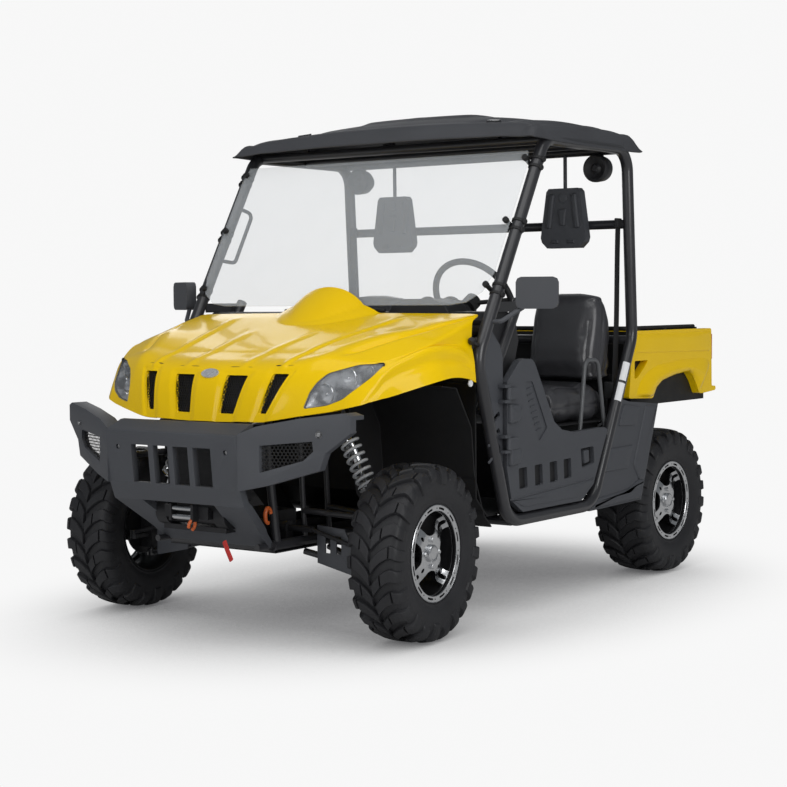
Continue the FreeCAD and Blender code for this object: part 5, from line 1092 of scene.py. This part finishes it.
# ------------------------------------------------------------------ doors
# Moulded half doors of charcoal plastic: a tall rounded front, four drain pockets, a latch pocket,
# two hinge pods and a slanted column of ribs, with a raised bead along the foot.
DOOR_FACE = 0.752
DOOR_POCKETS = (((-0.326, 0.570), (-0.267, 0.572), (-0.262, 0.492), (-0.320, 0.490)),
                ((-0.211, 0.573), (-0.154, 0.575), (-0.149, 0.494), (-0.206, 0.492)),
                ((-0.100, 0.576), (-0.043, 0.577), (-0.038, 0.497), (-0.095, 0.495)),
                ((0.007, 0.578), (0.064, 0.580), (0.069, 0.502), (0.012, 0.500)))
LATCH_POCKET = ((0.142, 0.611), (0.246, 0.614), (0.252, 0.545), (0.152, 0.532))
RIB_PANEL = ((-0.279, 0.896), (-0.225, 0.897), (-0.115, 0.712), (-0.177, 0.662), (-0.250, 0.790))
DOOR_SPAN = (0.70, 0.80)
DOOR_CUT = 0.77


def pad(outline, x, height, soft, corner=0.010, order=(0, 1, 2)):
    """Raised panel on the plane of one x: rings of the (y, z) outline shrink by soft (1 - cos a) as they
    rise by height sin a, and a middle point closes each face. The order ALONG_X lays it on one y."""
    outline = rounded_outline(outline, corner, 5)
    foot = x - math.copysign(0.0015, height)
    rings = [np.tile((foot, *outline.mean(0)), (len(outline), 1)),
             np.column_stack([np.full(len(outline), foot), outline])]
    for a in np.linspace(0, np.pi / 2, 5):
        ring = shrunk(outline, soft * (1 - math.cos(a)))
        rings.append(np.column_stack([np.full(len(ring), x + height * math.sin(a)), ring]))
    middle = np.array([x + height, *outline.mean(0)])
    rings.append((rings[-1] + middle) / 2)
    rings.append(np.tile(middle, (len(outline), 1)))
    return np.concatenate(rings)[:, order], lattice(len(rings), len(outline), close_cols=True)


def bar(start, end, width):
    """Four corners of a straight (y, z) bar."""
    start, end = np.array(start), np.array(end)
    ahead = unit(end - start)
    off = np.array([-ahead[1], ahead[0]]) * width / 2
    return np.array([start - off, end - off, end + off, start + off])


def other_side(piece, name):
    """Copy of a piece's mesh for the vehicle's other side, with its faces turned the right way."""
    mesh = piece.data.copy()
    mesh.materials.clear()
    points = spots_of(mesh) * (-1, 1, 1)
    mesh.vertices.foreach_set("co", points.ravel())
    mesh.flip_normals()
    mesh.name = name
    return placed(name, mesh)


def on_doors(piece, name, finish, crease, stands=False):
    """Fits a piece to the left door and its mirror image to the right one, and gives back both."""
    pair = piece, other_side(piece, name + "_right")
    for made, door in zip(pair, ("door_left", "door_right")):
        fit(made, finish, door, (door,) if stands else (), crease)
    return pair


def even(*made):
    """Lets the large faces set the shading of the narrow rounded edges beside them."""
    for piece in made:
        smooth = piece.modifiers.new("even", "WEIGHTED_NORMAL")
        smooth.keep_sharp = True
        smooth.weight = 100


door = softened("door_shell_left", "door_left", 0.0045, 3)
DOOR_SHAPE = ((-0.440, 0.380), (-0.440, 0.920), (-0.404, 0.906), (-0.316, 0.984), (-0.218, 0.986),
              (-0.118, 0.822), (-0.061, 0.731), (-0.003, 0.697), (0.090, 0.6815), (0.336, 0.687),
              (0.380, 0.674), (0.300, 0.380))
carve(door, [rounded_outline(DOOR_SHAPE, 0.038)], *DOOR_SPAN, "INTERSECT", ALONG_X)
for outlines, corner, depth in ((DOOR_POCKETS, 0.006, 0.014), ((LATCH_POCKET,), 0.010, 0.018),
                                ((RIB_PANEL,), 0.010, 0.005)):
    carve(door, [rounded_outline(corners, corner) for corners in outlines], DOOR_FACE - depth, DOOR_CUT,
          "DIFFERENCE", ALONG_X)
even(*on_doors(door, "door_shell", guard_plastic, 34.0, True))
# Painted shade in the pockets: dark pads on their floors darken the recesses where shade falls.
pocket_shade_pads = [pad(corners, DOOR_FACE - 0.0145, 0.0012, 0.001, 0.006) for corners in DOOR_POCKETS]
pocket_shade_pads.append(pad(LATCH_POCKET, DOOR_FACE - 0.0185, 0.0012, 0.001, 0.010))
on_doors(tidy(solid_mesh("pocket_shade_pads_left", *joined(pocket_shade_pads))), "pocket_floors", clamp_rubber, 40.0)

trim = []
for share in np.arange(8) / 7:
    start = np.array([-0.268, 0.866]) * (1 - share) + np.array([-0.196, 0.706]) * share
    trim.append(pad(bar(start, start + (0.038, 0.007), 0.0045), DOOR_FACE - 0.005, 0.0045, 0.0012, 0.002))
for low, high in ((0.742, 0.822), (0.582, 0.660)):
    trim.append(pad([(-0.400, high - 0.002), (-0.332, high - 0.008), (-0.312, high - 0.020),
                     (-0.314, low + 0.030), (-0.336, low + 0.004), (-0.400, low)],
                    DOOR_FACE, 0.015, 0.010, 0.012))
trim.append(pad([(0.172, 0.602), (0.214, 0.604), (0.218, 0.552), (0.178, 0.546)], DOOR_FACE - 0.018, 0.016,
                0.004, 0.008))
bead = np.linspace((DOOR_FACE - 0.0015, -0.385, 0.4565), (DOOR_FACE - 0.0015, 0.250, 0.4865), 40)
trim.append(pipe(bead, 0.0035, (1, 0, 0), 10))
lower = [(-0.383, 0.452), (0.248, 0.481), (0.178, 0.440), (0.128, 0.420), (-0.288, 0.420), (-0.352, 0.446)]
trim.append(pad(lower, DOOR_FACE, 0.0025, 0.002, 0.012))
on_doors(tidy(solid_mesh("door_trim_left", *joined(trim))), "door_trim", guard_plastic, 40.0)

# ------------------------------------------------------------------ side panels
# Charcoal body panels ahead of and behind each door. The rear one has a rounded border, a ledge along
# its foot and two raised fields, and the front one three slanted louvres.
panel = softened("panel_shells", "side_panels", 0.004, 2)
louvres = [rounded_outline(bar((-0.508, 0.742 - 0.062 * k), (-0.436, 0.786 - 0.062 * k), 0.020), 0.006)
           for k in range(3)]
for span in ((0.70, 0.76), (-0.76, -0.70)):
    carve(panel, louvres, *span, "DIFFERENCE", ALONG_X)
fit(panel, guard_plastic, "chassis", ("side_panels",), 34.0)
even(panel)
# Raised fields: (outline, height, soft, corner).
FIELDS = ((((0.514, 0.770), (0.655, 0.752), (0.615, 0.676), (0.466, 0.680)), 0.006, 0.004, 0.012),
          (((0.388, 0.592), (0.594, 0.594), (0.547, 0.500), (0.340, 0.498)), 0.006, 0.004, 0.012),
          (((0.690, 0.436), (0.812, 0.750), (0.706, 0.757), (0.596, 0.506), (0.646, 0.440)),
           0.007, 0.016, 0.020),
          (((0.236, 0.357), (0.662, 0.361), (0.692, 0.440), (0.640, 0.444), (0.560, 0.410), (0.264, 0.396)),
           0.008, 0.014, 0.014))
PANEL_FACE, LOUVRE_FACE = 0.744, 0.732
build("panel_fields", [pad(outline, PANEL_FACE, *form) for outline, *form in FIELDS], guard_plastic,
      "chassis")
louvre_bars = [pad(bar((-0.506, 0.728 - 0.062 * k), (-0.434, 0.772 - 0.062 * k), 0.010), LOUVRE_FACE,
                   0.004, 0.003, 0.003) for k in range(3)]
build("panel_louvres", louvre_bars, guard_plastic, "chassis")

# Two blank white labels wrap the rear tube on the driver's side.
SILL = 0.372
label_white = Finish("label_white", (0.80, 0.80, 0.80), 0.35, rough=(0.15, 0.3, 60.0))


def capped(sheet):
    """(points, quads) of a tube from rows of closed rings, with each end drawn to its middle."""
    ends = [np.tile(sheet[k].mean(0), (1, sheet.shape[1], 1)) for k in (0, -1)]
    sheet = np.concatenate([ends[0], sheet, ends[1]])
    return sheet.reshape(-1, 3), lattice(*sheet.shape[:2], close_cols=True)


POST_TOP, POST_BACK = 1.048, 0.343
post = unit(np.array([0.0, POST_BACK, POST_TOP - SILL]))
ahead = np.array([0.0, -post[2], post[1]])
a = np.radians(np.linspace(12, 84, 12))[None, :, None]
labels = []
for low, high in ((0.862, 0.936), (0.780, 0.852)):
    z = np.linspace(low, high, 5)
    y = 0.268 + POST_BACK * (z - SILL) / (POST_TOP - SILL)
    middle = np.column_stack([np.full(5, 0.730), y, z])[:, None]
    shell = [middle + r * (np.cos(a) * (1.0, 0.0, 0.0) + np.sin(a) * ahead) for r in (0.0252, 0.0238)]
    labels.append(capped(np.concatenate([shell[0], shell[1][:, ::-1]], axis=1)))
build("blank_labels", labels, label_white, "chassis", both=False)

# A black sill plate stands inside the hoop's foot and closes the gap under each door.
sill = pad([(-0.360, 0.372), (0.160, 0.372), (0.205, 0.470), (-0.400, 0.470)], 0.692, 0.010, 0.003, 0.010)
build("sill_plates", [sill], clamp_rubber, "chassis")

# ------------------------------------------------------------------ inner arches
# Black liners close the space behind each front wheel, and plastic guards shield the lower arms.
liner_black = Finish("liner_black", (0.012, 0.012, 0.013), 0.6, rough=(0.25, 0.45, 14.0, 4.0),
                     relief=(0.0005, 0.3, 380.0))
even(cover("arch_liners", "inner_arches", 0.003, 2, liner_black))
cover("guard_shells", "arm_guards", 0.004, 2, guard_plastic)

# ------------------------------------------------------------------ springs and dampers
# Light grey coil springs round bright dampers: the coil is a helix whose pitch closes at both ends,
# held between two round seats.
coil_paint = Finish("coil_paint", (0.42, 0.43, 0.44), 0.35, rough=(0.2, 0.28, 50.0), Coat_Weight=0.3)
chrome = Finish("damper_chrome", (0.66, 0.67, 0.69), 0.14, 1.0, rough=(0.12, 0.09, 30.0))
SHOCKS = {"front": ((0.352, -0.915, 0.787), (0.535, -0.915, 0.437)),
          "rear": ((0.330, 1.000, 0.717), (0.452, 1.000, 0.425))}
COIL_TURNS, COIL_FROM, COIL_LONG = 8.5, 0.135, 0.570
COIL_SEAT = ((0.0, -0.004), (0.036, -0.004), (0.040, 0.0), (0.040, 0.004), (0.034, 0.008), (0.022, 0.009),
             (0.0, 0.009))
EYE = ((0.0, -0.017), (0.013, -0.017), (0.015, -0.013), (0.015, 0.013), (0.013, 0.017), (0.0, 0.017))
COLLAR = ((0.0, 0.0), (0.0155, 0.0), (0.0155, 0.034), (0.011, 0.040), (0.0, 0.041))
for name, (top, foot) in SHOCKS.items():
    top, foot = np.array(top), np.array(foot)
    axis = unit(foot - top)
    length = np.linalg.norm(foot - top)
    one = unit(np.cross(axis, (0, 1, 0)))
    two = np.cross(axis, one)
    t = np.linspace(0, 1, 330)[:, None]
    closing = 0.5 - 0.5 * np.cos(np.pi * t)
    depth = (COIL_FROM + COIL_LONG * (0.85 * t + 0.15 * closing)) * length
    angle = 2 * np.pi * COIL_TURNS * t
    radius = 0.0335 - 0.003 * np.abs(t - 0.5)
    route = top + axis * depth + radius * (np.cos(angle) * one + np.sin(angle) * two)
    build(name + "_coils", [pipe(route, 0.0058, axis, 10)], coil_paint, "chassis",
          (name + "_springs",), 50.0)
    body = [(0.0, 0.0), (0.016, 0.002), (0.0205, 0.010), (0.0205, length * 0.44), (0.0175, length * 0.455),
            (0.0, length * 0.46)]
    rod = [top + axis * length * 0.42, top + axis * length * 0.75, foot - axis * 0.010]
    damper = [lathe(COIL_SEAT, top + axis * length * 0.120, axis, 36),
              lathe(COIL_SEAT, top + axis * length * 0.718, -axis, 36),
              lathe(body, top + axis * 0.006, axis, 28), pipe(rod, 0.0085, (0, 1, 0), 20),
              lathe(COLLAR, top + axis * length * 0.742, axis, 24),
              lathe(EYE, foot - axis * 0.004, (0, 1, 0), 24), lathe(EYE, top + axis * 0.004, (0, 1, 0), 24)]
    build(name + "_damper_bodies", damper, chrome, "chassis", (name + "_dampers",), 34.0)

# ------------------------------------------------------------------ cab tub and dashboard
# A black moulded tub carries the seats, and a soft edged dashboard spans the cab with a hooded
# instrument pod ahead of the driver.
dash_black = Finish("dash_black", (0.018, 0.018, 0.020), 0.5,
                    tones=((0.013, 0.013, 0.014), (0.028, 0.028, 0.031), 5.0, 4.0),
                    rough=(0.12, 0.42, 320.0, 2.0), relief=(0.0004, 0.3, 320.0, 2.0))
tub = cover("tub_shell", "cab_tub", 0.004, 2, liner_black)
dash = cover("dash_shell", "dashboard", 0.009, 3, dash_black)
even(tub, dash)
DIAL = ((0.0, 0.002), (0.040, 0.002), (0.042, 0.0), (0.044, 0.007), (0.049, 0.009), (0.051, 0.004),
        (0.051, -0.004))
dials = [lathe(DIAL, (0.370 + x, -0.298, 1.172), (0, 1, 0), 36) for x in (-0.052, 0.056)]
tabs = [pipe([(x + step, -0.487, 1.170) for step in (0, 0.024, 0.048)], 0.007, (0, 0, 1), 12)
        for x in (-0.248, 0.200)]
build("dash_dials", dials + tabs, clamp_rubber, "chassis", (), 34.0, False)
dress(clamp_rubber, "steering_wheel")

# ------------------------------------------------------------------ seats
# Two bucket seats in black vinyl. Each pad is a rounded cushion that swells between its edges, with a
# sewn channel inside each side bolster and a glossy front roll.
vinyl = Finish("black_vinyl", (0.016, 0.016, 0.017), 0.36,
               tones=((0.028, 0.028, 0.031), (0.054, 0.054, 0.059), 7.0, 4.0), rough=(0.16, 0.28, 9.0),
               Coat_Weight=0.5, Coat_Roughness=0.22)
pores = vinyl.node("ShaderNodeTexVoronoi", {}, Vector=vinyl.place(), Scale=420.0)
vinyl.bump(pores, 0.0005, 0.25)
SEAT_MIDDLE = 0.505
SEAM_WIDTH = 0.0045
SWELL_FRAMES = 20


def plump(name, stations, upright, power=4.2):
    """Pad for both seats as rounded sections: station (along, middle, half width, half depth), each section
    the superellipse |a|^n + |b|^n = 1, joined by smooth curves and closed at both ends."""
    stations = np.array(stations)
    at = np.linspace(stations[0, 0], stations[-1, 0], 70)
    middle, wide, deep = hermite(stations[:, 0], stations[:, 1:], at).T
    angle = np.linspace(0, 2 * np.pi, 96, endpoint=False)[None]
    a, b = [np.sign(part) * np.abs(part) ** (2 / power) for part in (np.cos(angle), np.sin(angle))]
    across, depth = SEAT_MIDDLE + a * wide[:, None], middle[:, None] + b * deep[:, None]
    along = np.broadcast_to(at[:, None], across.shape)
    sheet = np.stack([across, depth, along] if upright else [across, along, depth], axis=-1)
    return tidy(solid_mesh(name, *twin(capped(sheet))))


def stuffed(piece, cap):
    """Remeshes a pad at 6 mm and blows it up by cloth pressure, with no gravity, for 20 frames; no point
    moves further than the cap, and the surface is then smoothed."""
    fine = piece.modifiers.new("fine", "REMESH")
    fine.mode, fine.voxel_size = "VOXEL", 0.006
    settle(piece)
    start = spots_of(piece.data)
    swell = piece.modifiers.new("swell", "CLOTH")
    swell.settings.quality = 4
    swell.settings.mass = 0.3
    swell.settings.use_pressure = True
    swell.settings.uniform_pressure_force = 4.0
    swell.settings.effector_weights.gravity = 0.0
    swell.point_cache.frame_start, swell.point_cache.frame_end = 1, SWELL_FRAMES + 1
    for frame_number in range(1, SWELL_FRAMES + 1):
        bpy.context.scene.frame_set(frame_number)
    moved = piece.evaluated_get(bpy.context.evaluated_depsgraph_get())
    spots = spots_of(moved.data)
    piece.modifiers.clear()
    bpy.context.scene.frame_set(1)
    step = spots - start
    size = np.linalg.norm(step, axis=1, keepdims=True)
    spots = start + step * np.minimum(1, cap / np.maximum(size, 1e-9))
    piece.data.vertices.foreach_set("co", spots.ravel())
    calm = piece.modifiers.new("calm", "SMOOTH")
    calm.factor, calm.iterations = 0.5, 16
    settle(piece)
    return piece


def sewn(piece, channels):
    """Sinks sewn channels: a hump of the seam's width round each line, drawn in along the normal."""
    mesh = piece.data
    mesh.update()
    spots = spots_of(mesh)
    normals = np.array([v.normal for v in mesh.vertices])
    for offset, depth in channels(spots, normals):
        spots = spots - normals * (hump(offset, 0.0, SEAM_WIDTH) * depth)[:, None]
    mesh.vertices.foreach_set("co", spots.ravel())
    mesh.update()


def cushion_channels(spots, normals):
    beside = np.abs(np.abs(spots[:, 0]) - SEAT_MIDDLE)
    top = (normals[:, 2] > 0.3) * 0.0035
    low = (np.abs(normals[:, 2]) < 0.7) * 0.005
    return (beside - 0.122, top * (spots[:, 1] > 0.13)), (spots[:, 2] - 0.774, low)


def back_channels(spots, normals):
    beside = np.abs(np.abs(spots[:, 0]) - SEAT_MIDDLE)
    edge = (np.abs(normals[:, 1]) < 0.75) * 0.005
    lean = spots[:, 1] - 0.440 - (spots[:, 2] - 0.95) * 0.22
    front = (normals[:, 1] < -0.3) * (spots[:, 2] < 1.12) * 0.003
    return (lean, edge), (lean - 0.045, edge), (beside - 0.128, front)


CUSHION = ((0.052, 0.788, 0.060, 0.010), (0.058, 0.786, 0.125, 0.034), (0.080, 0.784, 0.150, 0.058),
           (0.130, 0.782, 0.158, 0.070), (0.300, 0.780, 0.158, 0.070), (0.440, 0.778, 0.156, 0.066),
           (0.462, 0.776, 0.140, 0.050), (0.470, 0.776, 0.060, 0.015))
BACK = ((0.868, 0.470, 0.060, 0.020), (0.876, 0.470, 0.140, 0.070), (0.900, 0.471, 0.158, 0.090),
        (0.980, 0.474, 0.164, 0.094), (1.080, 0.488, 0.164, 0.084), (1.150, 0.487, 0.160, 0.066),
        (1.200, 0.485, 0.145, 0.048), (1.226, 0.484, 0.120, 0.034), (1.236, 0.484, 0.055, 0.012))
for name, source, stations, upright, channels in (
        ("cushion_pads", "seat_cushions", CUSHION, False, cushion_channels),
        ("back_pads", "seat_backs", BACK, True, back_channels)):
    pads = stuffed(plump(name, stations, upright), 0.005)
    sewn(pads, channels)
    fit(pads, vinyl, "chassis", (source,), 80.0)

# ------------------------------------------------------------------ cab fittings
# Headrests hung from the cage, round speakers, lap belts on reels, grey hip hoops, square door
# mirrors, and strap rings that hold the windshield's clamps to their posts.
even(cover("headrest_pads", "headrests", 0.007, 3, guard_plastic))
REST_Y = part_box("headrests")[0][1] + 0.0004
relief = []
for middle in (0.448, -0.448):
    relief.append(pad(arc(0.021, 0, 345, 20) + (middle, 1.636), REST_Y, -0.0045, 0.003, 0.001, ALONG_X))
    wedge = [(middle + a, b) for a, b in ((-0.020, 1.592), (0.020, 1.592), (0.012, 1.520), (-0.012, 1.520))]
    relief.append(pad(wedge, REST_Y, -0.0100, 0.005, 0.006, ALONG_X))
    for side in (-1, 1):
        rail = bar((middle + side * 0.052, 1.655), (middle + side * 0.070, 1.508), 0.026)
        relief.append(pad(rail, REST_Y, -0.0100, 0.008, 0.008, ALONG_X))
        foot = bar((middle + side * 0.022, 1.452), (middle + side * 0.056, 1.452), 0.014)
        relief.append(pad(foot, REST_Y, -0.0075, 0.004, 0.003, ALONG_X))
build("headrest_relief", relief, guard_plastic, "chassis", (), 34.0, False)

SPEAKER_X, SPEAKER_Y = 0.623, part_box("speakers")[0][1]
CONE = ((0.0, -0.002), (0.012, -0.001), (0.016, 0.006), (0.024, 0.010), (0.041, 0.002), (0.045, -0.001),
        (0.050, -0.003), (0.056, 0.0), (0.058, 0.005), (0.0575, 0.020), (0.052, 0.060), (0.036, 0.088),
        (0.0, 0.092))
neck = [(SPEAKER_X, SPEAKER_Y + back, z) for back, z in ((0.058, 1.800), (0.060, 1.815), (0.062, 1.828))]
speakers = [lathe(CONE, (SPEAKER_X, SPEAKER_Y + 0.003, 1.752), (0, 1, 0), 44),
            pipe(neck, 0.010, (1, 0, 0), 14)]
build("speaker_pods", speakers, dash_black, "chassis", ("speakers",), 34.0)

webbing = Finish("belt_webbing", (0.014, 0.014, 0.015), 0.75)
thread = (webbing.axes()[2] * 1800.0).wave()
webbing.feed("Roughness", thread * 0.08 + 0.70)
webbing.bump(thread, 0.0003, 0.5)
hang = np.linspace((0.6965, 0.520, 0.852), (0.6965, 0.556, 1.520), 40)
hang[:, 1] += 0.004 * np.sin(np.linspace(0, 5, 40))
reel = [pad([(0.494, 0.788), (0.536, 0.788), (0.536, 0.862), (0.494, 0.862)], 0.665, 0.038, 0.005, 0.008),
        pad([(0.496, 0.702), (0.504, 0.702), (0.504, 0.795), (0.496, 0.795)], 0.669, 0.006, 0.001, 0.002),
        pad([(0.534, 1.505), (0.572, 1.505), (0.574, 1.545), (0.540, 1.545)], 0.688, 0.016, 0.002, 0.006)]
build("belt_straps", [pipe(hang, 0.022, (1, 0, 0), 14, 0.06)] + reel, webbing, "chassis",
      ("seat_belts",), 50.0)
hoop_paint = Finish("hoop_paint", (0.09, 0.093, 0.097), 0.35, rough=(0.2, 0.3, 30.0), Coat_Weight=0.4)
dress(hoop_paint, "hip_hoops")
even(cover("mirror_shells", "mirrors", 0.0125, 4, guard_plastic))

POST_LOW, POST_HIGH = np.array([-0.578, 0.990]), np.array([-0.096, 1.834])
post_ahead = unit(POST_HIGH - POST_LOW)
STRAP = ((0.0240, -0.0055), (0.0262, -0.0055), (0.0268, -0.0045), (0.0268, 0.0045), (0.0262, 0.0055),
         (0.0240, 0.0055), (0.0240, -0.0055))
KNOB = ((0.0, 0.0), (0.010, 0.0), (0.0115, 0.002), (0.0115, 0.008), (0.009, 0.011), (0.0, 0.012))
straps = []
for height in (1.243, 1.486, 1.728):
    for shift in (-0.016, 0.016):
        share = (height + shift - POST_LOW[1]) / (POST_HIGH[1] - POST_LOW[1])
        y, z = POST_LOW + (POST_HIGH - POST_LOW) * share
        straps.append(lathe(STRAP, (0.730, y, z), (0, *post_ahead), 36))
        straps.append(lathe(KNOB, (0.753, y, z), (1, -0.2, 0), 14))
build("post_straps", straps, clamp_rubber, "chassis", (), 34.0)

# ------------------------------------------------------------------ cargo bed
# A black tipping tub with yellow outer sides. Each side has a soft shoulder line, a three cornered
# vent ahead of the wheel, and a swollen flare round the wheel arch; a tailgate closes the back.
BED_SIDE = ((0.604, 0.787), (0.616, 0.860), (0.642, 1.060), (0.652, 1.071), (1.386, 1.071), (1.393, 1.062),
            (1.398, 0.806), (1.4385, 0.806), (1.4385, 0.786), (1.318, 0.778), (1.272, 0.778), (1.231, 0.834),
            (1.190, 0.872), (1.164, 0.884), (1.026, 0.872), (0.907, 0.852), (0.852, 0.826), (0.822, 0.778))
BED_X = (0.6845, 0.7200)
points, faces = prism(rounded_outline(BED_SIDE, 0.012, 4), *BED_X)
mesh = bpy.data.meshes.new("bed_side_shells")
mesh.from_pydata(points[:, ALONG_X].tolist(), [], faces)
bed_left = tidy(placed("bed_side_left", mesh))
BED_VENT = ((0.655, 0.944), (0.776, 0.944), (0.742, 0.914), (0.690, 0.878), (0.655, 0.866))
carve(bed_left, [rounded_outline(BED_VENT, 0.008)], 0.66, 0.74, "DIFFERENCE", ALONG_X)
rounded_edges(bed_left, 0.005, 3, 40.0)
bed_right = other_side(bed_left, "bed_side_right")
fit(bed_left, yellow_gloss, "cargo_bed", ("bed_sides",), 34.0)
fit(bed_right, yellow_gloss, "cargo_bed", (), 34.0)
even(bed_left, bed_right)

# The flare is a band from the arch's edge to the shoulder line; it swells by 17 mm sin(pi t^0.7) across.
ARCH_INNER = ((0.815, 0.780), (0.852, 0.826), (0.907, 0.852), (1.026, 0.872), (1.164, 0.884), (1.190, 0.872),
              (1.231, 0.834), (1.275, 0.780))
ARCH_OUTER = ((0.668, 0.790), (0.690, 0.834), (0.732, 0.874), (0.846, 0.916), (1.030, 0.934), (1.200, 0.938),
              (1.340, 0.934), (1.384, 0.900))
t = np.linspace(0, 7, 90)
inner = np.stack([np.interp(t, range(8), [p[k] for p in ARCH_INNER]) for k in (0, 1)], 1)
outer = hermite(np.arange(8), ARCH_OUTER, t)
u = np.linspace(0, 1, 16)[None, :, None]
flat = inner[:, None] * (1 - u) + outer[:, None] * u
ends = between(t, -0.01, 0.35, 6.4, 7.01)[:, None, None]
swell = 0.7195 + 0.017 * np.sin(np.pi * u ** 0.7) ** 0.8 * ends
front = np.concatenate([swell, flat], axis=2)
behind = np.concatenate([np.full(swell.shape, 0.7150), flat], axis=2)[:, ::-1]
flare = capped(np.concatenate([front, behind], axis=1))
build("bed_flares", [flare], yellow_gloss, "cargo_bed")
shoulder = pad([(0.656, 0.978), (1.376, 0.968), (1.380, 1.058), (0.666, 1.058)], 0.7198, 0.0030, 0.006, 0.010)
build("bed_shoulders", [shoulder], yellow_gloss, "cargo_bed")

liner = cover("bed_liner_shell", "bed_tub", 0.003, 2, liner_black, "cargo_bed", 32.0)
gate = cover("gate_shell", "tailgate", 0.004, 2, yellow_gloss, "tailgate")
even(liner, gate)
GATE_Y = 1.4118
fields = [pad([(a, 0.850), (a + 0.560, 0.850), (a + 0.560, 1.030), (a, 1.030)], GATE_Y, 0.005, 0.006, 0.020,
              ALONG_X) for a in (-0.600, 0.040)]
build("gate_fields", fields, yellow_gloss, "tailgate", both=False)
red_lens = Finish("red_lens", (0.42, 0.012, 0.010), 0.12, rough=(0.1, 0.08, 20.0), Coat_Weight=0.6)
red_lens.bump((red_lens.axes()[2] * 900.0).wave(), 0.0004, 0.4)
cover("tail_lamp_lenses", "tail_lamps", 0.003, 3, red_lens, "cargo_bed")

# ------------------------------------------------------------------ power unit
# The engine, its radiator and the exhaust sit under the bed and the nose; each is a plain casting
# or pressing that shows only from the side and behind.
cast_alloy = Finish("cast_alloy", (0.16, 0.165, 0.17), 0.5, 0.7,
                    tones=((0.08, 0.082, 0.085), (0.24, 0.245, 0.25), 11.0, 5.0), rough=(0.25, 0.38, 50.0),
                    relief=(0.0006, 0.4, 240.0))
heat_steel = Finish("heat_steel", (0.20, 0.18, 0.16), 0.42, 0.9,
                    tones=((0.12, 0.105, 0.09), (0.30, 0.28, 0.25), 7.0, 5.0), rough=(0.2, 0.34, 30.0))
fins = Finish("radiator_fins", (0.05, 0.05, 0.052), 0.5, 0.5, rough=(0.2, 0.4, 60.0))
fins.bump((fins.axes()[2] * 1400.0).wave(), 0.0008, 0.7)
block = cover("engine_shell", "engine", 0.006, 2, cast_alloy)
cover("exhaust_shell", "exhaust", 0.003, 2, heat_steel)
core = cover("radiator_shell", "radiator", 0.003, 2, fins)
even(block, core)
